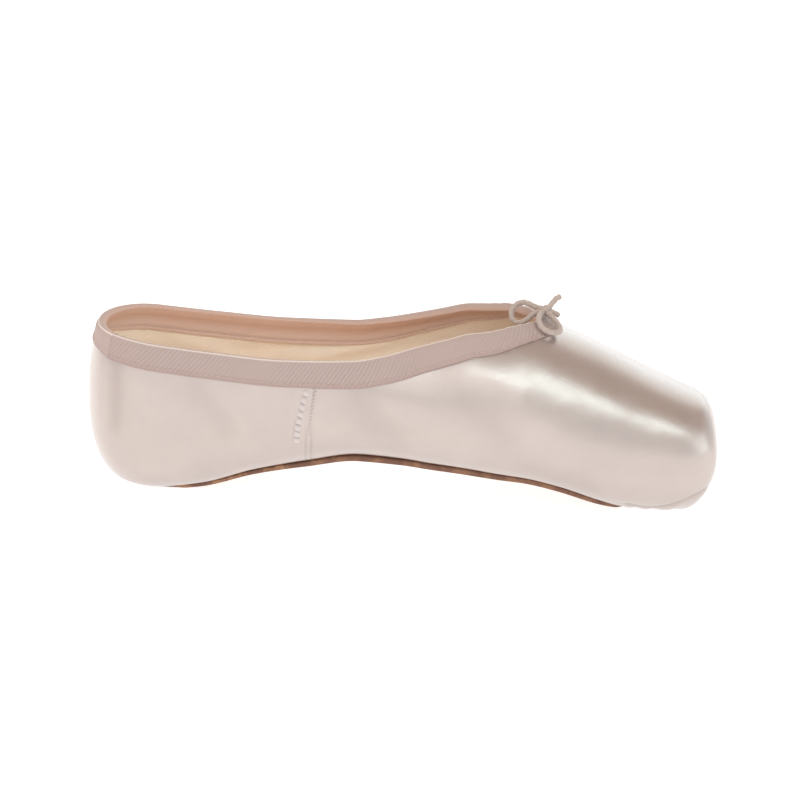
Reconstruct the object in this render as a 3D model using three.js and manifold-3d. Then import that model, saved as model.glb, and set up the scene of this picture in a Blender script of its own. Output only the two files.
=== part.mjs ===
// Pointe shoe: a straight-lasted hollow upper, a skived leather sole, an insole,
// a tape folded over the collar, and the bow of the drawstring that runs inside it.
// Millimetres, +Z up, toe at +X, heel at -X, the floor at z = 0.
import * as THREE from "three";
import { mergeVertices } from "three/addons/utils/BufferGeometryUtils.js";
import Module from "manifold-3d";

const wasm = await Module();
wasm.setup();

// Driving dimensions
const LENGTH = 240;
const HEEL_RADIUS = 27;
const CLEARANCE = 0.3;
const TAPE_THICKNESS = 0.8;
const INSOLE_THICKNESS = 1.5;
const TURNED_MARGIN = 4;
const CORD_DIAMETER = 2.1;

// Building tolerances: points closer than this are one, cutters reach this far past what they cut
const SAME_POINT = 1e-3;
const CUT_PAST = 1;

// Facets of the knot round and up
const KNOT_ROUND = 12;
const KNOT_UP = 8;

// The last, one row per section. at: distance from the heel's back; base: height of the flat underside;
// seat: half width of that flat; girth: greatest half width; belly: height of the girth;
// crown: height of the ridge, open above the collar; low, high: roundness of the curve below and above
// the belly; wall: thickness of cloth and paste, thicker in the toe box.
const LAST = readTable("at base seat girth belly crown low high wall", [
  [0, 1.6, 12.0, 27.0, 36.0, 76.0, 2.3, 2.5, 1.6],
  [27, 1.6, 15.5, 27.0, 33.0, 88.0, 2.3, 2.3, 1.5],
  [44, 3.6, 15.2, 27.3, 32.0, 90.0, 2.2, 2.3, 1.4],
  [65, 10.0, 15.0, 27.8, 33.0, 88.0, 2.0, 2.3, 1.4],
  [85, 14.4, 14.6, 28.3, 35.5, 79.0, 1.9, 2.3, 1.4],
  [104, 17.7, 14.5, 29.0, 37.0, 71.5, 1.9, 2.3, 1.4],
  [120, 17.4, 16.2, 30.5, 37.0, 69.8, 1.95, 2.25, 1.4],
  [131, 16.5, 17.6, 31.6, 36.5, 71.2, 2.0, 2.2, 1.4],
  [144, 15.6, 19.3, 33.0, 35.2, 73.4, 2.0, 2.2, 1.5],
  [157, 14.5, 21.0, 34.2, 33.3, 73.2, 2.1, 2.15, 1.6],
  [166, 13.8, 22.0, 35.0, 31.8, 71.3, 2.1, 2.15, 1.7],
  [180, 11.0, 22.6, 35.0, 29.0, 65.3, 2.1, 2.1, 2.1],
  [196, 5.7, 21.2, 33.5, 25.6, 58.0, 2.1, 2.1, 2.6],
  [206, 2.9, 19.5, 32.0, 24.2, 53.6, 2.15, 2.1, 2.8],
  [226, 1.0, 15.0, 28.0, 22.5, 45.0, 2.2, 2.1, 3.0],
  [240, 1.0, 13.0, 25.0, 21.5, 39.2, 2.2, 2.1, 3.0],
]);

// Rounding of the toe into its flat platform: how far back it starts and how far it turns in
const TOE_TOP = { along: 7, turn: 10 };
const TOE_UNDER = { along: 14, turn: 17 };
const TOE_SIDE = { along: 14, turn: 8 };

// Side view of the collar. top: the upper's cut edge; low: the lower edge of the folded tape
const COLLAR = readTable("at top low", [
  [0, 62.0, 54.5],
  [15, 61.5, 53.4],
  [30, 60.2, 51.6],
  [48, 58.7, 49.8],
  [75, 57.1, 48.0],
  [100, 57.5, 48.4],
  [112, 59.4, 50.2],
  [125, 62.8, 54.0],
  [138, 66.2, 58.2],
  [150, 68.8, 61.8],
  [163, 70.6, 65.2],
  [174, 71.2, 66.6],
  [188, 71.2, 66.8],
]);

// Plan of the mouth's front end, where the edges draw together in a throat
const THROAT = { from: 144, to: 171, half: 18.6, roundness: 1.8 };
const CUT_REACH = 6;

// The leather sole: half width, before its ends are rounded, and thickness, before it is skived to the floor
const SOLE = readTable("at half thick", [
  [14, 12.6, 2.4],
  [27, 13.2, 2.4],
  [44, 14.8, 2.4],
  [65, 15.6, 2.5],
  [85, 15.8, 2.9],
  [104, 16.2, 3.2],
  [120, 17.6, 3.3],
  [138, 19.5, 3.3],
  [165, 22.0, 3.3],
  [180, 22.0, 3.3],
  [196, 19.8, 3.3],
  [217, 13.4, 3.0],
]);
const SOLE_ENDS = { heel: 14, toe: 217, heelRound: 12, toeRound: 24 };
const INSOLE_ENDS = { heel: 17, toe: 219, heelRound: 12, toeRound: 22 };
const INSOLE_EASE = 0.6;

// Fineness of the faceted surfaces
const FAN_STEPS = 8;
const STRAIGHT_STEP = 8;
const TOE_STEPS = 6;
const SEAT_STEPS = 2;
const LOW_STEPS = 7;
const HIGH_STEPS = 9;
const SLAB_STEP = 7;
const SLAB_END_STEPS = 5;
const COLLAR_STEP = 4;
const THROAT_STEPS = 8;
const REACH = 60;

// The bow. Every route starts and ends just clear of the knot, at the named directions from it.
const KNOT = { at: new THREE.Vector3(52.4, 0, 72.9), size: new THREE.Vector3(2.5, 2.3, 2.2) };
const CORD_SIDES = 8;
const LOOP_STEPS = 26;
const END_STEPS = 5;
const BOW = [
  {
    name: "drawstring_loop_far",
    leave: [-0.88, 0.44, 0.18],
    route: [
      [46.9, 1.8, 74.5],
      [44.3, 2.2, 75.1],
      [41.8, 2.0, 74.3],
      [40.2, 1.0, 72.4],
      [39.9, -0.8, 70.4],
      [41.1, -2.6, 68.9],
      [43.3, -3.7, 68.8],
      [45.6, -2.8, 69.8],
      [47.8, -1.3, 71.4],
    ],
    back: [-0.96, -0.12, -0.2],
    steps: LOOP_STEPS,
  },
  {
    name: "drawstring_loop_near",
    leave: [0.5, -0.84, -0.14],
    route: [
      [55.7, -4.4, 71.2],
      [57.7, -6.8, 69.4],
      [58.1, -9.8, 68.3],
      [56.9, -12.5, 68.3],
      [54.1, -13.9, 68.8],
      [51.4, -12.9, 70.0],
      [50.1, -10.2, 71.5],
      [50.1, -6.8, 72.4],
    ],
    back: [-0.5, -0.84, -0.16],
    steps: LOOP_STEPS,
  },
  {
    name: "drawstring_end_far",
    leave: [0.74, 0.2, 0.64],
    route: [
      [56.2, 1.2, 77.0],
      [58.4, 1.6, 78.6],
    ],
    steps: END_STEPS,
  },
  {
    name: "drawstring_end_near",
    leave: [0.86, 0.4, -0.32],
    route: [
      [56.6, 1.9, 71.3],
      [58.2, 2.3, 70.2],
    ],
    steps: END_STEPS,
  },
];

// Colours and finish, from the photograph
const FINISH = {
  satin: { color: 0xdccdc6, roughness: 0.42, metalness: 0 },
  tape: { color: 0xcdbab4, roughness: 0.8, metalness: 0 },
  leather: { color: 0x6b4a3c, roughness: 0.75, metalness: 0 },
  lining: { color: 0xd8bfa4, roughness: 0.9, metalness: 0 },
  cord: { color: 0xb8a79f, roughness: 0.85, metalness: 0 },
};

// Tables and curves

function readTable(columns, rows) {
  const names = columns.split(" ");
  return Object.fromEntries(names.map((name, column) => [name, rows.map((row) => row[column])]));
}

// Smooth curve through a table's column that never overshoots its values
function curveThrough(stations, values) {
  const last = stations.length - 1;
  const steps = stations.slice(1).map((station, i) => station - stations[i]);
  const slopes = steps.map((step, i) => (values[i + 1] - values[i]) / step);
  const tangents = values.map((_, i) => {
    if (i === 0) {
      return 0;
    }
    if (i === last) {
      return slopes[last - 1];
    }
    if (slopes[i - 1] * slopes[i] <= 0) {
      return 0;
    }
    const before = 2 * steps[i] + steps[i - 1];
    const after = steps[i] + 2 * steps[i - 1];
    return (before + after) / (before / slopes[i - 1] + after / slopes[i]);
  });
  return (query) => {
    const station = THREE.MathUtils.clamp(query, stations[0], stations[last]);
    const above = stations.findIndex((value) => value > station);
    const i = above < 0 ? last - 1 : above - 1;
    const t = (station - stations[i]) / steps[i];
    const ease = t * t * (3 - 2 * t);
    const leaving = t * (1 - t) * (1 - t) * steps[i] * tangents[i];
    const arriving = t * t * (t - 1) * steps[i] * tangents[i + 1];
    return values[i] + (values[i + 1] - values[i]) * ease + leaving + arriving;
  };
}

// Distance along the plan outline: round the heel's quarter circle, then straight to the toe
function runOf(at) {
  if (at >= HEEL_RADIUS) {
    return HEEL_RADIUS * (Math.PI / 2 - 1) + at;
  }
  return HEEL_RADIUS * Math.acos(1 - at / HEEL_RADIUS);
}

const lastRuns = LAST.at.map(runOf);
const lastCurves = Object.fromEntries(
  Object.entries(LAST).map(([name, values]) => [name, curveThrough(lastRuns, values)]),
);
const collarTop = curveThrough(COLLAR.at, COLLAR.top);
const collarLow = curveThrough(COLLAR.at, COLLAR.low);
const soleHalf = curveThrough(SOLE.at, SOLE.half);
const soleThick = curveThrough(SOLE.at, SOLE.thick);

// Turn of an elliptical rounding that ends at the toe's tip
function toeTurn(at, round) {
  const t = THREE.MathUtils.clamp((at - LENGTH + round.along) / round.along, 0, 1);
  return round.turn * (1 - Math.sqrt(1 - t * t));
}

// One section of the last, with the toe's rounding worked in
function sectionAt(run, at) {
  const row = Object.fromEntries(Object.entries(lastCurves).map(([name, curve]) => [name, curve(run)]));
  row.base += toeTurn(at, TOE_UNDER);
  row.crown -= toeTurn(at, TOE_TOP);
  row.girth -= toeTurn(at, TOE_SIDE);
  row.seat -= toeTurn(at, TOE_SIDE);
  return row;
}

// Solids from faces

// Closed solid from points and triangles: equal points are merged and flat triangles dropped
function closedSolid(points, triangles) {
  const geometry = new THREE.BufferGeometry();
  geometry.setAttribute("position", new THREE.Float32BufferAttribute(points.flat(), 3));
  geometry.setIndex(triangles.flat());
  return solidOf(geometry);
}

function solidOf(geometry) {
  geometry.deleteAttribute("normal");
  geometry.deleteAttribute("uv");
  const merged = mergeVertices(geometry, SAME_POINT);
  const index = Array.from(merged.index.array);
  const kept = [];
  for (let i = 0; i < index.length; i += 3) {
    const [a, b, c] = index.slice(i, i + 3);
    if (a !== b && b !== c && c !== a) {
      kept.push(a, b, c);
    }
  }
  return new wasm.Manifold(
    new wasm.Mesh({
      numProp: 3,
      vertProperties: new Float32Array(merged.attributes.position.array),
      triVerts: new Uint32Array(kept),
    }),
  );
}

// Two triangles for the quad between rows i and i + 1 and columns j and j + 1
function quad(a, b, c, d, flip) {
  return flip ? [[a, c, b], [a, d, c]] : [[a, b, c], [a, c, d]];
}

// The last's surface

// Half profile from the middle of the underside, round the girth, to the middle of the ridge
function halfProfile(row, offset) {
  const base = row.base - offset;
  const crown = row.crown + offset;
  const girth = row.girth + offset;
  const profile = [];
  for (let i = 0; i < SEAT_STEPS; i += 1) {
    profile.push({ out: (row.seat * i) / SEAT_STEPS, up: base });
  }
  for (let i = 0; i <= LOW_STEPS; i += 1) {
    const angle = (Math.PI / 2) * (i / LOW_STEPS);
    const out = row.seat + (girth - row.seat) * Math.sin(angle) ** (2 / row.low);
    profile.push({ out, up: row.belly - (row.belly - base) * Math.cos(angle) ** (2 / row.low) });
  }
  for (let i = 1; i <= HIGH_STEPS; i += 1) {
    const angle = (Math.PI / 2) * (i / HIGH_STEPS);
    const out = i === HIGH_STEPS ? 0 : girth * Math.cos(angle) ** (2 / row.high);
    profile.push({ out, up: row.belly + (crown - row.belly) * Math.sin(angle) ** (2 / row.high) });
  }
  return profile;
}

// Height of the profile above the belly at a half width, and how steeply it falls outwards there
function heightAt(row, out) {
  return row.belly + (row.crown - row.belly) * (1 - (out / row.girth) ** row.high) ** (1 / row.high);
}

function steepness(row, out) {
  const share = out / row.girth;
  const bend = (1 - share ** row.high) ** (1 / row.high - 1);
  return ((row.crown - row.belly) / row.girth) * share ** (row.high - 1) * bend;
}

// Stations of the sections: turned about the heel's centre, then square to the length
function stations() {
  const list = [];
  for (let i = 0; i < FAN_STEPS; i += 1) {
    const turn = (Math.PI / 2) * (i / FAN_STEPS);
    list.push({ at: HEEL_RADIUS, run: HEEL_RADIUS * turn, turn });
  }
  const toeStart = LENGTH - TOE_UNDER.along;
  const straightSteps = Math.round((toeStart - HEEL_RADIUS) / STRAIGHT_STEP);
  for (let i = 0; i < straightSteps; i += 1) {
    const at = HEEL_RADIUS + ((toeStart - HEEL_RADIUS) * i) / straightSteps;
    list.push({ at, run: runOf(at), turn: Math.PI / 2 });
  }
  for (let i = 0; i <= TOE_STEPS; i += 1) {
    const at = toeStart + TOE_UNDER.along * Math.sin((Math.PI / 2) * (i / TOE_STEPS));
    list.push({ at, run: runOf(at), turn: Math.PI / 2 });
  }
  return list;
}

// Whole form of the last, grown by an offset that each section gives; the toe's tip moves with it
function lastSolid(offsetOf) {
  const points = [];
  const triangles = [];
  const sections = stations();
  const sides = [-1, 1];
  sections.forEach(({ at, run, turn }) => {
    const row = sectionAt(run, at);
    const offset = offsetOf(row);
    const toeShare = THREE.MathUtils.smoothstep(at, LENGTH - 2 * TOE_UNDER.along, LENGTH);
    const centre = at + offset * toeShare - LENGTH / 2;
    const profile = halfProfile(row, offset);
    sides.forEach((side) => {
      profile.forEach(({ out, up }) => {
        points.push([centre - out * Math.cos(turn), side * out * Math.sin(turn), up]);
      });
    });
  });
  const width = SEAT_STEPS + LOW_STEPS + 1 + HIGH_STEPS;
  const at = (section, side, j) => (section * 2 + side) * width + j;
  for (let i = 0; i + 1 < sections.length; i += 1) {
    for (let j = 0; j + 1 < width; j += 1) {
      sides.forEach((_, side) => {
        const corners = [at(i, side, j), at(i + 1, side, j), at(i + 1, side, j + 1), at(i, side, j + 1)];
        triangles.push(...quad(...corners, side === 1));
      });
    }
  }
  const tip = sections.length - 1;
  for (let j = 0; j + 1 < width; j += 1) {
    triangles.push(...quad(at(tip, 0, j), at(tip, 1, j), at(tip, 1, j + 1), at(tip, 0, j + 1), false));
  }
  return closedSolid(points, triangles);
}

// Wall of cloth, grown on both faces
function wallSolid(grow) {
  return lastSolid(() => grow).subtract(lastSolid((row) => -row.wall - grow));
}

// Side-view region between two height lines, as wide as the whole shoe
function sideRegion(lowAt, highAt, from, to) {
  const outline = [];
  const count = Math.round((to - from) / COLLAR_STEP);
  for (let i = 0; i <= count; i += 1) {
    const at = from + ((to - from) * i) / count;
    outline.push({ at, low: lowAt(at), high: highAt(at) });
  }
  const lowEdge = outline.map(({ at, low }) => new THREE.Vector2(at - LENGTH / 2, low));
  const highEdge = outline.map(({ at, high }) => new THREE.Vector2(at - LENGTH / 2, high));
  const shape = new THREE.Shape([...lowEdge, ...highEdge.reverse()]);
  const geometry = new THREE.ExtrudeGeometry(shape, { depth: 2 * REACH, bevelEnabled: false });
  geometry.rotateX(Math.PI / 2);
  geometry.translate(0, REACH, 0);
  return solidOf(geometry);
}

// Points of the collar's edge on one side, drawn in by a margin, from the heel's back to the throat
function collarEdge(shrink) {
  const edge = [];
  stations().filter(({ at }) => at < THROAT.from).forEach(({ at, run, turn }) => {
    const row = sectionAt(run, at);
    const lift = (collarTop(at - HEEL_RADIUS * Math.cos(turn)) - row.belly) / (row.crown - row.belly);
    const out = row.girth * (1 - lift ** row.high) ** (1 / row.high);
    edge.push({ at, turn, row, out: out - shrink / Math.hypot(1, steepness(row, out)) });
  });
  for (let i = 0; i <= THROAT_STEPS; i += 1) {
    const angle = (Math.PI / 2) * (i / THROAT_STEPS);
    const at = THROAT.from + (THROAT.to - THROAT.from - shrink) * Math.sin(angle) ** (2 / THROAT.roundness);
    const out = i === THROAT_STEPS ? 0 : (THROAT.half - shrink) * Math.cos(angle) ** (2 / THROAT.roundness);
    edge.push({ at, turn: Math.PI / 2, row: sectionAt(runOf(at), at), out });
  }
  return edge;
}

// Opening of the upper, drawn in by a margin: its rim is cut square to the cloth all round
function mouthSolid(shrink) {
  const points = [];
  const triangles = [];
  const edge = collarEdge(shrink);
  const corners = 5;
  edge.forEach(({ at, turn, row, out }) => {
    const up = heightAt(row, out);
    const rise = steepness(row, out);
    const across = (CUT_REACH * rise) / Math.hypot(1, rise);
    const above = CUT_REACH / Math.hypot(1, rise);
    const inner = Math.max(0, out - across);
    const profile = [[0, up - above], [inner, up - above], [out + across, up + above]];
    profile.push([out + across, 2 * REACH], [0, 2 * REACH]);
    [-1, 1].forEach((side) => {
      profile.forEach(([r, z]) => {
        points.push([at - r * Math.cos(turn) - LENGTH / 2, side * r * Math.sin(turn), z]);
      });
    });
  });
  for (let i = 0; i + 1 < edge.length; i += 1) {
    for (let j = 0; j + 1 < corners; j += 1) {
      [0, 1].forEach((side) => {
        const here = (i * 2 + side) * corners + j;
        const next = here + 2 * corners;
        triangles.push(...quad(here, next, next + 1, here + 1, side === 1));
      });
    }
  }
  return closedSolid(points, triangles);
}

// Slab that lies along the last: half width and both heights follow the distance from the heel
function slab({ heel, toe, heelRound, toeRound }, halfAt, lowAt, highAt) {
  const list = [];
  for (let i = 0; i < SLAB_END_STEPS; i += 1) {
    list.push(heel + heelRound * (1 - Math.cos((Math.PI / 2) * (i / SLAB_END_STEPS))));
  }
  const from = heel + heelRound;
  const to = toe - toeRound;
  const count = Math.round((to - from) / SLAB_STEP);
  for (let i = 0; i < count; i += 1) {
    list.push(from + ((to - from) * i) / count);
  }
  for (let i = 0; i <= SLAB_END_STEPS; i += 1) {
    list.push(to + toeRound * Math.sin((Math.PI / 2) * (i / SLAB_END_STEPS)));
  }
  const points = [];
  const triangles = [];
  list.forEach((at, i) => {
    const heelTurn = THREE.MathUtils.clamp((from - at) / heelRound, 0, 1);
    const toeTurnIn = THREE.MathUtils.clamp((at - to) / toeRound, 0, 1);
    const half = halfAt(at) * Math.sqrt(1 - heelTurn ** 2) * Math.sqrt(1 - toeTurnIn ** 2);
    const x = at - LENGTH / 2;
    const low = lowAt(at);
    const high = highAt(at);
    points.push([x, -half, low], [x, half, low], [x, half, high], [x, -half, high]);
    if (i > 0) {
      for (let edge = 0; edge < 4; edge += 1) {
        const next = (edge + 1) % 4;
        const before = 4 * (i - 1);
        triangles.push(...quad(before + edge, before + next, 4 * i + next, 4 * i + edge, false));
      }
    }
  });
  return closedSolid(points, triangles);
}

// Pieces

const baseAt = (at) => lastCurves.base(runOf(at));
const wallAt = (at) => lastCurves.wall(runOf(at));
const seatAt = (at) => lastCurves.seat(runOf(at));
const skyline = () => 2 * REACH;

// Hollow shell, open at the collar, and underneath inside the turned-under margin
function makeUpper() {
  const opening = {
    ...SOLE_ENDS,
    heel: SOLE_ENDS.heel + TURNED_MARGIN,
    toe: SOLE_ENDS.toe - TURNED_MARGIN,
  };
  const underside = slab(
    opening,
    (at) => soleHalf(at) - TURNED_MARGIN,
    (at) => baseAt(at) - CUT_PAST,
    (at) => baseAt(at) + wallAt(at) + CUT_PAST,
  );
  return wallSolid(0).subtract(mouthSolid(0)).subtract(underside);
}

// Leather under the turned margin: skived to the floor at the heel and the forefoot
function makeOutsole() {
  const top = (at) => baseAt(at) - CLEARANCE;
  return slab(SOLE_ENDS, soleHalf, (at) => Math.max(0, top(at) - soleThick(at)), top);
}

// Sock inside, over the turned margin
function makeInsole() {
  const low = (at) => baseAt(at) + wallAt(at) + CLEARANCE;
  return slab(INSOLE_ENDS, (at) => seatAt(at) - INSOLE_EASE, low, (at) => low(at) + INSOLE_THICKNESS);
}

// Tape folded over the collar's edge, clear of the cloth by the clearance all round
function makeBinding() {
  const reach = CLEARANCE + TAPE_THICKNESS;
  const band = sideRegion(collarLow, skyline, -REACH, COLLAR.at.at(-1));
  const outside = wallSolid(reach).intersect(band).subtract(mouthSolid(reach));
  return outside.subtract(wallSolid(CLEARANCE).subtract(mouthSolid(CLEARANCE)));
}

function knotGeometry() {
  const geometry = new THREE.SphereGeometry(1, KNOT_ROUND, KNOT_UP);
  geometry.scale(KNOT.size.x, KNOT.size.y, KNOT.size.z);
  geometry.translate(KNOT.at.x, KNOT.at.y, KNOT.at.z);
  return geometry;
}

// Point at a distance from the knot's surface, in a direction from its centre
function besideKnot(direction, distance) {
  const ray = new THREE.Vector3(...direction).normalize();
  const inUnits = ray.clone().divide(KNOT.size);
  return KNOT.at.clone().addScaledVector(ray, 1 / inUnits.length() + distance);
}

// Tube that leaves the knot square to it, follows the route, and for a loop comes back square
function cordGeometry({ leave, route, back, steps }) {
  const square = CLEARANCE + CORD_DIAMETER / 3;
  const points = [besideKnot(leave, CLEARANCE), besideKnot(leave, square)];
  points.push(...route.map((point) => new THREE.Vector3(...point)));
  if (back) {
    points.push(besideKnot(back, square), besideKnot(back, CLEARANCE));
  }
  const section = new THREE.Shape();
  for (let i = 0; i < CORD_SIDES; i += 1) {
    const angle = (2 * Math.PI * i) / CORD_SIDES;
    const corner = [(CORD_DIAMETER / 2) * Math.cos(angle), (CORD_DIAMETER / 2) * Math.sin(angle)];
    if (i === 0) {
      section.moveTo(...corner);
    } else {
      section.lineTo(...corner);
    }
  }
  section.closePath();
  const extrudePath = new THREE.CatmullRomCurve3(points);
  return new THREE.ExtrudeGeometry(section, { steps, extrudePath, bevelEnabled: false });
}

// Assembly

function geometryOf(solid) {
  const { vertProperties, triVerts } = solid.getMesh();
  const geometry = new THREE.BufferGeometry();
  geometry.setAttribute("position", new THREE.Float32BufferAttribute(vertProperties, 3));
  geometry.setIndex(Array.from(triVerts));
  geometry.computeVertexNormals();
  return geometry;
}

const shoe = new THREE.Group();

function addPiece(name, geometry, finish) {
  const mesh = new THREE.Mesh(geometry, new THREE.MeshStandardMaterial(finish));
  mesh.name = name;
  shoe.add(mesh);
}

addPiece("upper", geometryOf(makeUpper()), FINISH.satin);
addPiece("outsole", geometryOf(makeOutsole()), FINISH.leather);
addPiece("insole", geometryOf(makeInsole()), FINISH.lining);
addPiece("collar_binding", geometryOf(makeBinding()), FINISH.tape);
addPiece("drawstring_knot", knotGeometry(), FINISH.cord);
BOW.forEach((cord) => addPiece(cord.name, cordGeometry(cord), FINISH.cord));

export default shoe;
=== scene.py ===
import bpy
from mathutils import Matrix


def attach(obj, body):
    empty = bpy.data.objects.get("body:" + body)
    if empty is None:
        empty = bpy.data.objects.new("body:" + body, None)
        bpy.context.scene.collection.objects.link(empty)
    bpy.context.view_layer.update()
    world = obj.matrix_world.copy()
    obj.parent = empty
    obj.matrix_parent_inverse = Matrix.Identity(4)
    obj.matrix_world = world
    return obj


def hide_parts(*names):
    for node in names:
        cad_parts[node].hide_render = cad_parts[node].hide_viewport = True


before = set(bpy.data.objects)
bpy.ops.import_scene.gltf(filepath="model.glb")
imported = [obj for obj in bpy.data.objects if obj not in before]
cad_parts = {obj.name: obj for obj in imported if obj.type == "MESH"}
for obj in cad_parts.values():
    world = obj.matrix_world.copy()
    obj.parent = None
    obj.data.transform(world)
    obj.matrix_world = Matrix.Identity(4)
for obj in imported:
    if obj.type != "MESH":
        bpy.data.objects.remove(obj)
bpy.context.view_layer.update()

import math
from types import SimpleNamespace

import bmesh
import bpy
import numpy as np
from bpy.props import FloatProperty, FloatVectorProperty, PointerProperty
from mathutils import Matrix, Quaternion, Vector

bl_info = {
    "name": "Pointe Shoe",
    "version": (1, 0, 0),
    "blender": (4, 5, 0),
    "location": "View3D > Sidebar > Pointe Shoe",
    "description": "Dresses the packed pointe shoe in satin, lining, twill tape, leather and cord",
    "category": "Object",
}

# Shoe sizes, in millimetres from the heel's back along +X and up from the floor

MM = 0.001
LENGTH = 240.0
HEEL_RADIUS = 27.0
CLEARANCE = 0.3
BODY = "root"

# Sizes that count as nothing, and the mirror from one side of the shoe to the other
SAME_PLACE = 1e-9
LEAST_RISE = 1e-6
LEAST_LENGTH = 1e-12
FLIP = np.array([1.0, -1.0, 1.0])

# The last, one row per section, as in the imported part
LAST_COLUMNS = ("at", "base", "seat", "girth", "belly", "crown", "low", "high", "wall")
LAST = np.array([
    [0, 1.6, 12.0, 27.0, 36.0, 76.0, 2.3, 2.5, 1.6],
    [27, 1.6, 15.5, 27.0, 33.0, 88.0, 2.3, 2.3, 1.5],
    [44, 3.6, 15.2, 27.3, 32.0, 90.0, 2.2, 2.3, 1.4],
    [65, 10.0, 15.0, 27.8, 33.0, 88.0, 2.0, 2.3, 1.4],
    [85, 14.4, 14.6, 28.3, 35.5, 79.0, 1.9, 2.3, 1.4],
    [104, 17.7, 14.5, 29.0, 37.0, 71.5, 1.9, 2.3, 1.4],
    [120, 17.4, 16.2, 30.5, 37.0, 69.8, 1.95, 2.25, 1.4],
    [131, 16.5, 17.6, 31.6, 36.5, 71.2, 2.0, 2.2, 1.4],
    [144, 15.6, 19.3, 33.0, 35.2, 73.4, 2.0, 2.2, 1.5],
    [157, 14.5, 21.0, 34.2, 33.3, 73.2, 2.1, 2.15, 1.6],
    [166, 13.8, 22.0, 35.0, 31.8, 71.3, 2.1, 2.15, 1.7],
    [180, 11.0, 22.6, 35.0, 29.0, 65.3, 2.1, 2.1, 2.1],
    [196, 5.7, 21.2, 33.5, 25.6, 58.0, 2.1, 2.1, 2.6],
    [206, 2.9, 19.5, 32.0, 24.2, 53.6, 2.15, 2.1, 2.8],
    [226, 1.0, 15.0, 28.0, 22.5, 45.0, 2.2, 2.1, 3.0],
    [240, 1.0, 13.0, 25.0, 21.5, 39.2, 2.2, 2.1, 3.0],
])
TOE_TOP = (7.0, 10.0)
TOE_UNDER = (14.0, 17.0)
TOE_SIDE = (14.0, 8.0)

# Side view of the collar's edge, and how wide the tape shows below it
COLLAR = np.array([
    [0, 62.0],
    [15, 61.5],
    [30, 60.2],
    [48, 58.7],
    [75, 57.1],
    [100, 57.5],
    [112, 59.4],
    [125, 62.8],
    [138, 66.2],
    [150, 68.8],
    [163, 70.6],
])
THROAT = SimpleNamespace(start=144.0, end=171.0, half=18.6, roundness=1.8, ease=(134.0, 150.0))
TAPE_WIDTH = np.array([
    [0, 6.6],
    [6, 7.4],
    [12, 9.0],
    [30, 9.4],
    [75, 9.6],
    [125, 10.4],
    [150, 9.6],
    [171, 7.4],
])

# The leather sole's half width and thickness before skiving, and the plan ends of sole and sock
SOLE = np.array([
    [14, 12.6, 2.4],
    [27, 13.2, 2.4],
    [44, 14.8, 2.4],
    [65, 15.6, 2.5],
    [85, 15.8, 2.9],
    [104, 16.2, 3.2],
    [120, 17.6, 3.3],
    [138, 19.5, 3.3],
    [165, 22.0, 3.3],
    [180, 22.0, 3.3],
    [196, 19.8, 3.3],
    [217, 13.4, 3.0],
])
SOLE_THICKEST = SOLE[:, 2].max() * MM
SOLE_ENDS = SimpleNamespace(heel=14.0, toe=217.0, heel_round=12.0, toe_round=24.0)
INSOLE_ENDS = SimpleNamespace(heel=17.0, toe=219.0, heel_round=12.0, toe_round=22.0)
INSOLE_EASE = 0.6
TURNED_MARGIN = 4.0

# The bow: the knot, and the routes of the drawstring's two halves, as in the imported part
KNOT = np.array([52.4, 0.0, 72.9])
FAR_HALF = np.array([
    [49.6, 4.6, 69.8],
    [50.7, 2.6, 71.4],
    [52.2, 0.3, 72.7],
    [53.8, -2.4, 72.4],
    [55.7, -4.4, 71.2],
    [57.7, -6.8, 69.4],
    [58.1, -9.8, 68.3],
    [56.9, -12.5, 68.3],
    [54.1, -13.9, 68.8],
    [51.4, -12.9, 70.0],
    [50.1, -10.2, 71.5],
    [50.1, -6.8, 72.4],
    [50.9, -3.2, 72.6],
    [52.4, 0.0, 72.8],
    [54.8, 1.3, 72.1],
    [56.6, 1.9, 71.3],
    [58.2, 2.3, 70.2],
])
NEAR_HALF = np.array([
    [49.6, -4.6, 69.8],
    [50.9, -2.6, 71.3],
    [52.2, -0.5, 72.7],
    [51.6, 0.7, 73.2],
    [49.6, 1.3, 73.5],
    [46.9, 1.8, 74.5],
    [44.3, 2.2, 75.1],
    [41.8, 2.0, 74.3],
    [40.2, 1.0, 72.4],
    [39.9, -0.8, 70.4],
    [41.1, -2.6, 68.9],
    [43.3, -3.7, 68.8],
    [45.6, -2.8, 69.8],
    [47.8, -1.3, 71.4],
    [50.0, -0.3, 72.4],
    [52.4, 0.0, 73.1],
    [54.4, 0.6, 74.7],
    [56.2, 1.2, 77.0],
    [58.4, 1.6, 78.6],
])

# The photograph's camera: its angles to the shoe, distance and scale at the middle
VIEW = SimpleNamespace(
    elevation=math.radians(19.0),
    roll=math.radians(2.4),
    distance=1.4,
    mm_per_pixel=0.3825,
    frame_pixels=800,
    sensor_mm=36.0,
    target=np.array([-1.0, 0.0, 34.6]),
)


class PointeSizes(bpy.types.PropertyGroup):
    """Sizes of the dressing that a user may change."""

    tape_thickness: FloatProperty(
        name="Tape thickness",
        description="Thickness of the twill tape folded over the collar",
        default=0.0006,
        unit="LENGTH",
    )
    cord_diameter: FloatProperty(
        name="Cord diameter",
        description="Diameter of the drawstring",
        default=0.0021,
        unit="LENGTH",
    )
    sole_thickness: FloatProperty(
        name="Sole thickness",
        description="Thickness of the leather sole where it is thickest",
        default=0.0033,
        unit="LENGTH",
    )
    insole_thickness: FloatProperty(
        name="Sock thickness",
        description="Thickness of the sock inside",
        default=0.0015,
        unit="LENGTH",
    )
    stitch_length: FloatProperty(
        name="Stitch length",
        description="Length of one stitch along the tape's edge",
        default=0.0019,
        unit="LENGTH",
    )


def colour_setting(name, description, default):
    """Colour that a user may change."""
    return FloatVectorProperty(
        name=name,
        description=description,
        default=default,
        subtype="COLOR",
        min=0.0,
        max=1.0,
    )


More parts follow.
